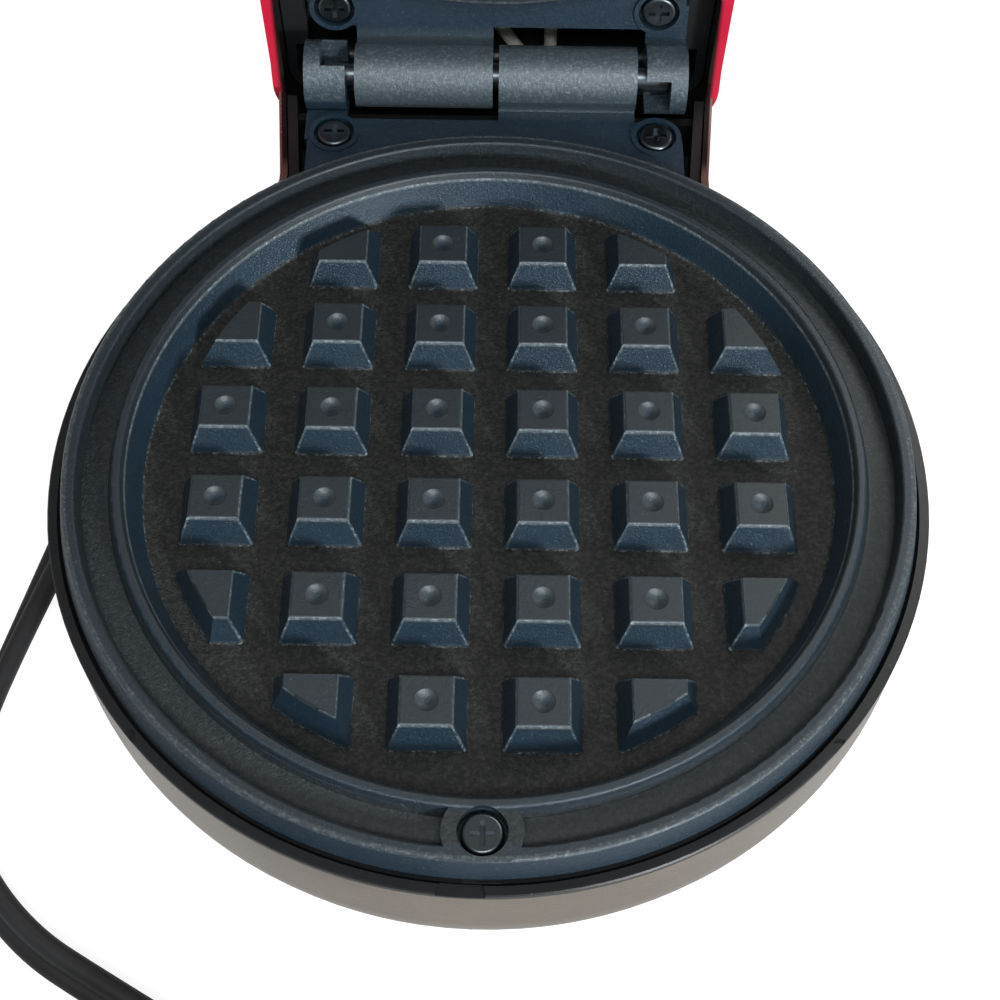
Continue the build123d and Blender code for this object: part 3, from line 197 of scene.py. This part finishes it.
def lead_outline():
    """Two round strands that meet in a groove, as a closed curve."""
    data = bpy.data.curves.new("lead_outline", "CURVE")
    data.dimensions = "2D"
    spline = data.splines.new("POLY")
    corners = []
    for side in (1, -1):
        for count in range(outline_points):
            covered = (2 * pi - 2 * groove_opening) * count / (outline_points - 1)
            turn = -pi + groove_opening + covered
            x = side * (strand_radius + strand_radius * cos(turn))
            y = side * strand_radius * sin(turn)
            corners.append((x, y))
    spline.points.add(len(corners) - 1)
    for point, (x, y) in zip(spline.points, corners):
        point.co = (x, y, 0, 1)
    spline.use_cyclic_u = True
    outline = bpy.data.objects.new("lead_outline", data)
    bpy.context.scene.collection.objects.link(outline)
    outline.hide_render = True
    outline.hide_viewport = True
    return outline


# %% The lead itself
lead_data = bpy.data.curves.new("power_lead", "CURVE")
lead_data.dimensions = "3D"
lead_data.twist_mode = "Z_UP"
lead_data.resolution_u = 10
lead_spline = lead_data.splines.new("NURBS")
all_points = lead_points + coil_points + tail_points
lead_spline.points.add(len(all_points) - 1)

# the first ten points lie flat, the roll comes over two more, and it goes over the last three
flat_points = 10
rolling_points = 2
levelling_points = 3
for number, (point, spot) in enumerate(zip(lead_spline.points, all_points)):
    point.co = (*(Vector(spot) * mm), 1)
    point.radius = mm
    left = len(all_points) - 1 - number
    rolled = max(0, (number - flat_points) / rolling_points)
    point.tilt = radians(lead_roll) * min(1, rolled, left / levelling_points)
lead_spline.order_u = 3
lead_spline.use_endpoint_u = True
lead_data.bevel_mode = "OBJECT"
lead_data.bevel_object = lead_outline()
lead_data.use_fill_caps = True
power_lead = bpy.data.objects.new("power_lead", lead_data)
bpy.context.scene.collection.objects.link(power_lead)
print("the lead has", len(all_points), "points")

# %% [markdown]
# The frame holds this stretch as a plain round tube.

# %% What the lead stands for
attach(power_lead, "base")
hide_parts("cord_lead", "cord_coil")

# %% [markdown]
# ## Writing finishes as sums
#
# A material is a little network of nodes. Wiring it link by link hides the idea, so a socket is
# wrapped in a small class that understands plus, minus, times, divided by and powers. Each sign
# adds a Math node, and the rest of a finish reads like the recipe that it is.

# %% A socket that can be reckoned with
class Amount:
    """A number that varies over a surface."""

    def __init__(self, finish, socket):
        self.finish = finish
        self.socket = socket

    def reckon(self, operation, first, second=0.0):
        return self.finish.node(
            "ShaderNodeMath", {"operation": operation}, {0: first, 1: second}
        )

    def __add__(self, other):
        return self.reckon("ADD", self, other)

    __radd__ = __add__

    def __sub__(self, other):
        return self.reckon("SUBTRACT", self, other)

    def __rsub__(self, other):
        return self.reckon("SUBTRACT", other, self)

    def __mul__(self, other):
        return self.reckon("MULTIPLY", self, other)

    __rmul__ = __mul__

    def __truediv__(self, other):
        return self.reckon("DIVIDE", self, other)

    def __pow__(self, other):
        return self.reckon("POWER", self, other)

    def size(self):
        """The number without its sign."""
        return (self * self) ** 0.5

    def beyond(self, start):
        """How far the number lies above start, and 0 below it."""
        return self.reckon("MAXIMUM", self - start, 0.0)

    def at_most(self, top):
        return self.reckon("MINIMUM", self, top)

    def repeat(self, pitch):
        """The distance from the middle of the nearest field, in a row of fields."""
        return (self.reckon("FRACT", self / pitch) - 0.5) * pitch


# %% [markdown]
# The second class holds the material while it is made. It keeps the shader and the place on the
# surface, in the coordinates of the object, and offers the few nodes that the finishes share:
# noise, spots, soft steps, mixed colours and relief.

# %% A material under construction
class Finish:
    """A material under construction, with its shader and the coordinates of the object."""

    def __init__(self, name, **settings):
        self.material = bpy.data.materials.new(name)
        self.material.use_nodes = True
        self.tree = self.material.node_tree
        self.shader = self.tree.nodes["Principled BSDF"]
        self.set(**settings)
        coordinates = self.tree.nodes.new("ShaderNodeTexCoord")
        self.place = Amount(self, coordinates.outputs["Object"])

    def set(self, **settings):
        """Give the shader's sockets, written with underscores, a value or a link."""
        for name, value in settings.items():
            self.feed(self.shader.inputs[name.replace("_", " ")], value)

    def feed(self, socket, value):
        if isinstance(value, Amount):
            self.tree.links.new(value.socket, socket)
        else:
            socket.default_value = value

    def node(self, kind, settings, sockets, output=0):
        """Any node: its settings are made first, then its sockets are fed."""
        made = self.tree.nodes.new(kind)
        for name, value in settings.items():
            setattr(made, name, value)
        for name, value in sockets.items():
            self.feed(made.inputs[name], value)
        return Amount(self, made.outputs[output])

    def axes(self):
        """The three coordinates of the place on the surface, in millimetres."""
        return (
            self.node("ShaderNodeSeparateXYZ", {}, {0: self.place}, number) / mm
            for number in range(3)
        )

    def turned(self, location, rotation):
        """Move and turn the pattern, for a piece that isn't modelled upright."""
        self.place = self.node(
            "ShaderNodeMapping",
            {"vector_type": "TEXTURE"},
            {"Vector": self.place, "Location": location, "Rotation": rotation},
        )

    def noise(self, size, detail=3.0, roughness=0.55):
        """Cloudy variation between 0 and 1, whose patches are about size millimetres wide."""
        return self.node(
            "ShaderNodeTexNoise",
            {},
            {
                "Vector": self.place,
                "Scale": 1 / (size * mm),
                "Detail": detail,
                "Roughness": roughness,
            },
        )

    def specks(self, size, reach):
        """Small round spots, 1 at the middle of each and 0 between them."""
        far = self.node(
            "ShaderNodeTexVoronoi", {}, {"Vector": self.place, "Scale": 1 / (size * mm)}
        )
        return self.between(far, reach, 0.0)

    def between(self, amount, low, high):
        """A soft step: 0 at low, 1 at high. Low may be the larger number."""
        return self.node(
            "ShaderNodeMapRange",
            {"interpolation_type": "SMOOTHSTEP"},
            {"Value": amount, "From Min": low, "From Max": high},
        )

    def mix(self, share, first, second):
        """A colour between two colours."""
        return self.node(
            "ShaderNodeMix", {"data_type": "RGBA"}, {0: share, 6: first, 7: second}, 2
        )

    def bump(self, height, depth, strength=1.0):
        """Relief whose full swing is depth millimetres."""
        normal = self.node(
            "ShaderNodeBump",
            {},
            {"Height": height, "Distance": depth * mm, "Strength": strength},
        )
        self.set(Normal=normal)


def times(colour, factor, lift=0.0):
    """A colour made darker or paler, still opaque."""
    return tuple(min(1, channel * factor + lift) for channel in colour[:3]) + (1,)


# %% [markdown]
# ## Non-stick plates
#
# The plates are aluminium castings under a dark coat, and the blue sheen on its slopes is painted
# into
# its colour. Use has changed it: the floor between the pegs holds a brown film and is dull, the
# gutter is greyer, and the knuckles are rubbed, with a painted sheen over the rubbing. Every edge
# carries a painted highlight, which lies over some wear on the rim, and the paler dimples are a
# painted highlight too. These zones could be painted by hand on an image, but they follow height
# and distance from the centre, which the coordinates of the casting give directly. The pegs stand
# in a grid, so one peg's pattern is repeated.

# %% Measures of the casting: heights above the table, distances from the centre, millimetres
floor_level = 28.2
peg_top_level = 33.1
peg_pitch = 15.4
dimple_radius = 1.65
whole_pegs_reach = 44.0
ridge_radius = 52.4
gutter_radius = 54.4
rim_inner = 58.7
rim_outer = 60.6
rim_level = 33.8
knuckles_half = 24.0
hinge_y = 73.1
hinge_z = 34.1
parting_height = 34.7
open_angle = radians(99)


# %% Zones of the casting
def plate_zones(finish, x, y, z):
    """Shares between 0 and 1 that say where on the casting a point lies."""
    step = finish.between
    zone = SimpleNamespace()
    reach = (x * x + y * y) ** 0.5
    inside = step(reach, gutter_radius, ridge_radius)
    zone.floor = inside * step(z, floor_level + 0.8, floor_level + 0.1)
    zone.foot = inside * step(z, floor_level + 0.5, floor_level + 0.3)
    zone.foot = zone.foot * step(z, floor_level + 0.05, floor_level + 0.2)

    # on a peg, the painted highlight is on the outer edges and not round the dimple
    peg_x, peg_y = x.repeat(peg_pitch), y.repeat(peg_pitch)
    from_middle = (peg_x * peg_x + peg_y * peg_y) ** 0.5
    off_dimple = step(from_middle, dimple_radius + 0.2, dimple_radius + 0.6)
    under_top = step(z, peg_top_level - 0.02, peg_top_level - 0.14)
    zone.top = inside * step(z, peg_top_level - 0.8, peg_top_level - 0.3)
    zone.top_edge = inside * step(z, peg_top_level - 0.65, peg_top_level - 0.3)
    zone.top_edge = zone.top_edge * under_top * off_dimple
    zone.dimple = zone.top * step(from_middle, dimple_radius + 0.1, dimple_radius - 0.1)
    zone.dimple = zone.dimple * under_top

    # the slanting corners, which carry a painted highlight, lie where both distances from the
    # peg's middle are equal
    span = peg_x.size() - peg_y.size()
    zone.corner = off_dimple * step(span * span, 0.16, 0.02)
    zone.corner = zone.corner * step(reach, whole_pegs_reach + 1, whole_pegs_reach)
    zone.corner = zone.corner * step(z, peg_top_level - 0.1, peg_top_level - 0.35)
    zone.corner = zone.corner * step(z, floor_level + 0.1, floor_level + 0.3)

    # outside the ridge
    zone.gutter = step(reach, ridge_radius + 1, gutter_radius)
    zone.gutter = zone.gutter * step(reach, rim_inner + 0.6, rim_inner - 0.6)
    zone.rim = step(reach, rim_inner - 0.4, rim_inner + 0.4)
    zone.rim = zone.rim * step(reach, rim_outer + 0.1, rim_outer - 0.3)
    zone.rim_edge = step(reach, rim_outer - 0.9, rim_outer - 0.5)
    zone.rim_edge = zone.rim_edge * step(z, rim_level - 0.5, rim_level - 0.2)
    zone.hinge = step(y, hinge_y - 6.5, hinge_y - 4.5)
    zone.hinge = zone.hinge * step(x * x, knuckles_half**2, (knuckles_half - 0.5) ** 2)
    return zone


# %% [markdown]
# The coat itself is never even. Noise of several sizes gives clouds of colour, blotches, grit that
# has baked on, and the sparkle of a painted highlight along the edges. The colours are then laid
# over each other like coats of paint, each with its own share: the later a layer, the higher it
# lies.

# %% Colour of the coat
def plate_colour(finish, zone, fine_grain):
    """The blue coat with its painted sheen and highlights, and everything that use has left on it.
    """
    cloud = finish.noise(11, 4)
    blotch = finish.noise(3.5, 5, 0.6)
    gritty = finish.between(finish.noise(0.7, 5, 0.8), 0.42, 0.66)
    sparkle = finish.between(finish.noise(0.6, 3, 0.7), 0.50, 0.62)
    specks = finish.specks(1.3, 0.16) * finish.between(blotch, 0.48, 0.58)
    rubbed = zone.hinge * finish.between(fine_grain, 0.40, 0.62)
    crust = zone.gutter * finish.between(blotch, 0.63, 0.74)
    # a painted highlight along the tops of the pegs, their feet and their slanting corners
    painted_edge_highlight = zone.top_edge * (0.25 + sparkle * 0.45) + zone.foot * sparkle * 0.35
    painted_edge_highlight = painted_edge_highlight + zone.corner * (0.12 + sparkle * 0.45)
    dull = finish.mix(gritty, (0.013, 0.017, 0.017, 1), (0.044, 0.050, 0.048, 1))
    soot = finish.mix(gritty, (0.007, 0.0085, 0.008, 1), (0.046, 0.048, 0.042, 1))
    soot = finish.mix(cloud * 0.5, soot, (0.012, 0.012, 0.010, 1))

    # the blue is a painted sheen kept on the slopes, the peg tops are painted grey where the sheen
    # is missing, and the other zones are laid over it
    colour = finish.mix(cloud, (0.013, 0.031, 0.050, 1), (0.020, 0.045, 0.070, 1))
    for share, layer in (
        (zone.top * 0.9, (0.026, 0.036, 0.041, 1)),
        # the paler dimples are a painted highlight
        (zone.dimple * 0.5, (0.080, 0.100, 0.105, 1)),
        (zone.gutter * 0.85, dull),
        (zone.rim * 0.7, (0.022, 0.030, 0.033, 1)),
        (zone.floor, soot),
        # the knuckles are painted paler, partly for the rubbing and partly as a painted sheen
        (zone.hinge * 0.5, (0.058, 0.080, 0.094, 1)),
        (rubbed * 0.07, (0.20, 0.23, 0.24, 1)),
        (specks * 0.45, (0.18, 0.22, 0.24, 1)),
        (painted_edge_highlight, (0.34, 0.42, 0.46, 1)),
        # a pale speckled line on the rim's outer edge, partly wear and partly a painted highlight
        (zone.rim_edge * (0.12 + sparkle * 0.25), (0.26, 0.30, 0.31, 1)),
        (crust * 0.5, (0.040, 0.030, 0.020, 1)),
    ):
        colour = finish.mix(share, colour, layer)
    return colour


# %% [markdown]
# The upper plate is the same casting in another position. Its place is turned back onto the lower
# one before anything is measured, so both plates come from one recipe. The relief is taken from
# its middle value, so that it fades out evenly in the dimples, which are polished.

# %% Plate finish
relief_middle = 0.9


def plate_finish(name, over=False):
    finish = Finish(name, Coat_Roughness=0.42, IOR=1.5)
    if over:
        # first undo the swing about the hinge, then turn the casting over
        finish.turned((0, hinge_y * mm, hinge_z * mm), (-open_angle, 0, 0))
        finish.turned((0, -hinge_y * mm, (parting_height * 2 - hinge_z) * mm), (0, pi, 0))
    zone = plate_zones(finish, *finish.axes())
    grain = finish.noise(0.35, 4, 0.7)
    fine = finish.noise(0.9, 5, 0.7)
    rough = zone.floor * 0.34 + zone.gutter * 0.22 + zone.top * 0.10 + fine * 0.20
    finish.set(
        Base_Color=plate_colour(finish, zone, grain),
        Roughness=rough + 0.15,
        Coat_Weight=0.50 - zone.floor * 0.50,
        Metallic=0.30 - zone.floor * 0.25,
    )
    relief = grain * (1.0 + zone.floor + zone.gutter) + fine * 0.8
    finish.bump((relief - relief_middle) * (1.0 - zone.dimple * 0.5), 0.14)
    return finish.material


# %% [markdown]
# ## Moulded plastic
#
# The ring round the plate, the handle and the clamp are black plastic from a spark-eroded mould,
# which leaves a fine grain. A plain black would look like a hole in the picture, so the colour
# drifts a little, and a few pale specks of dust lie on it.

# %% Plastic finish
dust_colour = (0.25, 0.24, 0.23, 1)


def moulded_finish(name, colour, roughness):
    finish = Finish(name)
    cloud = finish.noise(14, 3)
    fine = finish.noise(0.35, 4, 0.65)
    tone = finish.mix(cloud * 0.7, colour, times(colour, 1.5, lift=0.004))
    finish.set(
        Base_Color=finish.mix(finish.specks(3.1, 0.06) * 0.35, tone, dust_colour),
        Roughness=roughness + cloud * 0.1 + fine * 0.08,
    )
    finish.bump(fine, 0.02)
    return finish.material


# %% [markdown]
# ## Steel
#
# The pan is polished steel, so its colour is mostly what it reflects, and its dark warm brown is a
# painted reflection of the table, with rub marks running round. The marks are noise in one
# dimension, read from the height alone, so that they become rings. Inside the pan's neck the walls
# are painted dark as shade, and only their outer edge is left bright. The screws, the clips and
# the brass of the plug use the same recipe without a neck.

# %% Steel finish
pan_neck_start = 54.0
pan_neck_half = 34.4
pan_neck_spread = 0.09
pan_neck_widest = 36.0
pan_neck_end = 86.0
neck_painted_shade = (0.03, 0.03, 0.03, 1)


def steel_finish(name, colour, roughness, neck=False):
    finish = Finish(name, Metallic=1.0)
    side, back, height = finish.axes()
    rings = finish.node(
        "ShaderNodeTexNoise",
        {"noise_dimensions": "1D"},
        {"W": height * 6 + finish.noise(40, 1) * 3, "Scale": 1.0, "Detail": 4.0},
    )
    smear = finish.noise(12, 4, 0.6)
    tone = finish.mix(smear, colour, times(colour, 0.72))
    # inside the neck the walls are painted dark as shade
    if neck:
        half = (back - pan_neck_start) * pan_neck_spread + pan_neck_half
        dark = finish.between(side.size() - half.at_most(pan_neck_widest), -0.30, -0.45)
        dark = dark * finish.between(back, pan_neck_start, pan_neck_start + 4)
        dark = dark * finish.between(back, pan_neck_end - 0.15, pan_neck_end - 0.35)
        tone = finish.mix(dark, tone, neck_painted_shade)
    finish.set(Base_Color=tone, Roughness=roughness + rings * 0.12 + smear * 0.05)
    finish.bump(rings, 0.01, 0.4)
    return finish.material


# %% [markdown]
# ## The red cover
#
# The cover of the lid is enamelled and glossy outside, with a faint orange peel, and inside its
# neck it is painted near black as shade. One material can do both, because the wall has a
# thickness: the inside is what lies closer to the middle than the wall's outer face. That is
# measured round the neck, with the lid turned back to its closed position, as a distance from the
# start of the rounded corners.

# %% Cover finish
cover_corner = 7.0
cover_neck_half = 37.2
cover_neck_start = -17.0
cover_neck_end = 10.0
cover_neck_top = 18.0
inside_shade_colour = (0.006, 0.004, 0.004, 1)


def cover_finish(name, colour):
    finish = Finish(name, Coat_Weight=0.6, Coat_Roughness=0.06)
    finish.turned((0, hinge_y * mm, hinge_z * mm), (-open_angle, 0, 0))
    side, back, height = finish.axes()
    side_reach = side.size().beyond(cover_neck_half - cover_corner)
    back_reach = back.beyond(cover_neck_end - cover_corner)
    top_reach = height.beyond(cover_neck_top - cover_corner)
    reach = (side_reach * side_reach + back_reach * back_reach + top_reach * top_reach) ** 0.5
    # inside the neck the cover is painted near black as shade
    inside_shade = finish.between(reach, cover_corner - 0.7, cover_corner - 1.6)
    # at the neck's end the edge of the wall gets the same painted shade
    edge = finish.between(reach, cover_corner - 0.12, cover_corner - 0.4)
    inside_shade = inside_shade + edge * finish.between(back, cover_neck_end - 6, cover_neck_end - 4)
    inside_shade = inside_shade * finish.between(back, cover_neck_start, cover_neck_start + 4)
    red = finish.mix(finish.noise(30, 2), colour, times(colour, 0.9))
    finish.set(
        Base_Color=finish.mix(inside_shade, red, inside_shade_colour),
        Roughness=0.24 + finish.noise(5, 5, 0.7) * 0.05,
    )
    finish.bump(finish.noise(1.6, 2), 0.012, 0.5)
    return finish.material


# %% [markdown]
# ## Rubber
#
# The lead, its plug and the feet are soft and dull. With age a paler bloom comes to the surface,
# in patches a few millimetres wide.

# %% Rubber finish
def rubber_finish(name, colour):
    finish = Finish(name)
    bloom = finish.noise(7, 5, 0.65)
    fine = finish.noise(0.5, 3, 0.6)
    finish.set(
        Base_Color=finish.mix(bloom * 0.6, colour, times(colour, 1.8, lift=0.01)),
        Roughness=0.38 + bloom * 0.2 + fine * 0.06,
    )
    finish.bump(fine, 0.02)
    return finish.material


# %% [markdown]
# ## Small parts inside
#
# What hides between the plates and the covers shows only when somebody takes the model apart, but
# each piece still gets the finish of its own stuff. The heating element's steel sheath has turned
# straw and violet from the heat, and carries a thin scale.

# %% Heated metal
def heated_finish(name):
    finish = Finish(name, Metallic=1.0)
    tint = finish.between(finish.noise(10, 4), 0.35, 0.65)
    scale = finish.noise(1.2, 5, 0.7)
    colour = finish.mix(tint, (0.20, 0.17, 0.15, 1), (0.30, 0.27, 0.31, 1))
    finish.set(Base_Color=colour, Roughness=0.42 + scale * 0.25)
    finish.bump(scale, 0.04)
    return finish.material


# %% [markdown]
# The wires wear woven glass sleeves, because plastic would melt there. A wave texture across the
# diagonal is enough to suggest the weave.

# %% Woven sleeve
def sleeve_finish(name, colour):
    finish = Finish(name)
    weave = finish.node(
        "ShaderNodeTexWave",
        {"wave_type": "BANDS", "bands_direction": "DIAGONAL"},
        {"Vector": finish.place, "Scale": 900.0, "Distortion": 2.0, "Detail": 1.0},
    )
    finish.set(
        Base_Color=finish.mix(finish.noise(4, 4), colour, times(colour, 0.72)),
        Roughness=0.62 + weave * 0.2,
    )
    finish.bump(weave, 0.05)
    return finish.material


# %% [markdown]
# The indicator's lens and its lamp let some light through. The share that passes is kept low, so
# that the lens shows its own amber instead of the dark space behind it.

# %% Lens and lamp
def clear_finish(name, colour):
    finish = Finish(name, Transmission_Weight=0.3, IOR=1.49)
    ribs = finish.noise(0.8, 2)
    finish.set(
        Base_Color=finish.mix(finish.noise(6, 2), colour, tuple(c * 0.85 for c in colour)),
        Roughness=0.08 + ribs * 0.08,
    )
    finish.bump(ribs, 0.02, 0.5)
    return finish.material


# %% [markdown]
# ## Give every solid its finish
#
# Each finish is made once and then handed to the pieces that share it. A table from finish to
# names shows at a glance that no piece has been forgotten.

# %% Finishes and their pieces
plastic = moulded_finish("black_plastic", (0.006, 0.0068, 0.0075, 1), 0.30)
# the dark warm brown of this steel is a painted reflection of the table
steel = steel_finish("polished_steel", (0.36, 0.305, 0.245, 1), 0.20, neck=True)
blackened = steel_finish("blackened_screw", (0.13, 0.15, 0.165, 1), 0.24)
zinc = steel_finish("zinc_screw", (0.32, 0.32, 0.33, 1), 0.30)
bright = steel_finish("plain_steel", (0.60, 0.60, 0.60, 1), 0.30)
rubber = rubber_finish("lead_rubber", (0.011, 0.011, 0.012, 1))
sleeve = sleeve_finish("wire_sleeve", (0.62, 0.60, 0.54, 1))

finishes = {
    plate_finish("plate_coat"): ("lower_plate",),
    plate_finish("plate_coat_over", over=True): ("upper_plate",),
    plastic: ("base_ring", "lid_ring", "lid_handle", "cord_clamp"),
    steel: ("base_shell",),
    blackened: ("lower_plate_screws", "upper_plate_screws", "hinge_pin"),
    zinc: (
        "base_screws",
        "lid_screws",
        "lid_handle_screws",
        "cord_clamp_screws",
        "lower_reflector_screw",
        "upper_reflector_screw",
        "thermostat_screws",
    ),
    bright: (
        "lower_terminals",
        "upper_terminals",
        "lower_element_clip",
        "upper_element_clip",
        "lower_reflector",
        "upper_reflector",
    ),
    cover_finish("red_cover", (0.62, 0.012, 0.045, 1)): ("lid_shell",),
    rubber: ("cord_relief", "plug_body"),
    rubber_finish("foot_rubber", (0.02, 0.02, 0.02, 1)): ("feet",),
    heated_finish("element_sheath"): ("lower_element", "upper_element"),
    sleeve: ("base_leads", "lid_leads", "thermal_fuse"),
    moulded_finish("connector_cap", (0.62, 0.61, 0.56, 1), 0.35): ("wire_connectors",),
    moulded_finish("thermostat_body", (0.07, 0.045, 0.03, 1), 0.45): ("thermostat",),
    steel_finish("blade_brass", (0.72, 0.62, 0.42, 1), 0.22): ("plug_blades",),
    clear_finish("lens_plastic", (0.95, 0.30, 0.12, 1)): ("indicator_lens",),
    clear_finish("lamp_glass", (0.95, 0.80, 0.65, 1)): ("indicator_lamp",),
}
for material, names in finishes.items():
    for name in names:
        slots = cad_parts[name].data.materials
        slots.clear()
        slots.append(material)
power_lead.data.materials.append(rubber)
print("finishes on", sum(len(names) for names in finishes.values()), "solids")

# %% [markdown]
# ## Wires across the hinge
#
# Two sleeved wires carry the current from the base to the lid. They pass under the right
# knuckle, and the stretch in between bends every time the lid moves. Here it is one fixed mesh,
# shaped for the lid standing open.

# %% Stretch of the wires across the hinge
wire_radius = 1.1
crossing_x = 7.5
crossing_pitch = 3.4
crossing_path = ((68.6, 25.15), (72.3, 25.75), (76.0, 26.35), (80.3, 26.3))


def crossing_wires():
    """Two bevelled curves, made into one mesh at the origin."""
    data = bpy.data.curves.new("crossing_path", "CURVE")
    data.dimensions = "3D"
    data.bevel_depth = wire_radius * mm
    data.bevel_resolution = 5
    data.resolution_u = 10
    for side in (-1, 1):
        spline = data.splines.new("NURBS")
        spline.points.add(len(crossing_path) - 1)
        for point, (y, z) in zip(spline.points, crossing_path):
            x = crossing_x + side * crossing_pitch / 2
            point.co = (x * mm, y * mm, z * mm, 1)
        spline.order_u = 3
        spline.use_endpoint_u = True
    curve = bpy.data.objects.new("crossing_path", data)
    bpy.context.scene.collection.objects.link(curve)
    bpy.context.view_layer.update()
    mesh = bpy.data.meshes.new_from_object(
        curve.evaluated_get(bpy.context.evaluated_depsgraph_get())
    )
    bpy.data.objects.remove(curve)
    wires = bpy.data.objects.new("hinge_wires", mesh)
    bpy.context.scene.collection.objects.link(wires)
    for face in mesh.polygons:
        face.use_smooth = True
    mesh.materials.clear()
    mesh.materials.append(sleeve)
    return wires


hinge_wires = crossing_wires()
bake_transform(hinge_wires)
print("the wires have", len(hinge_wires.data.polygons), "faces")

# %% [markdown]
# ## Floor, light and backdrop
#
# The appliance stands on a plain pale floor. The picture's background is pure white. Brighter
# lamps would wash out the object, so the floor and the world look white only to the camera and in
# reflections, while the light that they give stays modest. The floor keeps a share of ordinary
# matte white, and with it the object's shadow.

# %% Floor
floor_half = 3.0
floor_grey = (0.35, 0.35, 0.35, 1)
white_seen = 0.88
white_mirrored = 0.25

floor_mesh = bpy.data.meshes.new("floor")
floor_form = bmesh.new()
bmesh.ops.create_grid(floor_form, x_segments=1, y_segments=1, size=floor_half)
floor_form.to_mesh(floor_mesh)
floor_form.free()
floor = bpy.data.objects.new("floor", floor_mesh)
bpy.context.scene.collection.objects.link(floor)
floor_finish = Finish("floor", Roughness=0.8, Base_Color=floor_grey, Emission_Color=(1, 1, 1, 1))
path = floor_finish.tree.nodes.new("ShaderNodeLightPath")
seen, mirrored, through = (
    Amount(floor_finish, path.outputs[ray])
    for ray in ("Is Camera Ray", "Is Glossy Ray", "Is Transmission Ray")
)
floor_finish.set(
    Emission_Strength=seen * white_seen + mirrored * white_mirrored + through * white_mirrored
)
floor_mesh.materials.append(floor_finish.material)
print("the floor is", 2 * floor_half, "m wide")

# %% [markdown]
# The main light comes from low on the front right: it fills the front slopes of the pegs and
# leaves their left sides black. A large one hangs above the camera and a weak one stands behind.
# The world adds a little light from everywhere, so that no side is quite black.

# %% World and lamps
world_light = 0.24
world_seen = 1.0
lamp_target = Vector((0, 0, 0.03))

world = bpy.data.worlds.new("studio")
bpy.context.scene.world = world
world.use_nodes = True
sky = world.node_tree.nodes["Background"]
sky_path = world.node_tree.nodes.new("ShaderNodeLightPath")
sky_mix = world.node_tree.nodes.new("ShaderNodeMix")
sky_mix.data_type = "FLOAT"
sky_mix.inputs[2].default_value = world_light
sky_mix.inputs[3].default_value = world_seen
world.node_tree.links.new(sky_path.outputs["Is Camera Ray"], sky_mix.inputs[0])
world.node_tree.links.new(sky_mix.outputs[0], sky.inputs["Strength"])
sky.inputs["Color"].default_value = (1, 1, 1, 1)


def soft_light(name, place, size, watts, colour):
    """A rectangular lamp that faces the appliance."""
    data = bpy.data.lights.new(name, "AREA")
    data.shape = "RECTANGLE"
    data.size, data.size_y = size
    data.energy = watts
    data.color = colour
    light = bpy.data.objects.new(name, data)
    bpy.context.scene.collection.objects.link(light)
    light.location = place
    aim = lamp_target - light.location
    light.rotation_euler = aim.to_track_quat("-Z", "Y").to_euler()
    print(name, watts, "W")


soft_light("key_light", Vector((0.62, -0.93, 0.47)), (0.20, 0.20), 13, (0.93, 0.97, 1.0))
soft_light("top_light", Vector((0.10, -0.70, 1.20)), (0.7, 0.3), 9, (0.95, 0.98, 1.0))
soft_light("back_light", Vector((0.45, 0.80, 0.95)), (0.6, 0.4), 4, (1.0, 0.99, 0.97))

bpy.context.scene.view_settings.view_transform = "Standard"
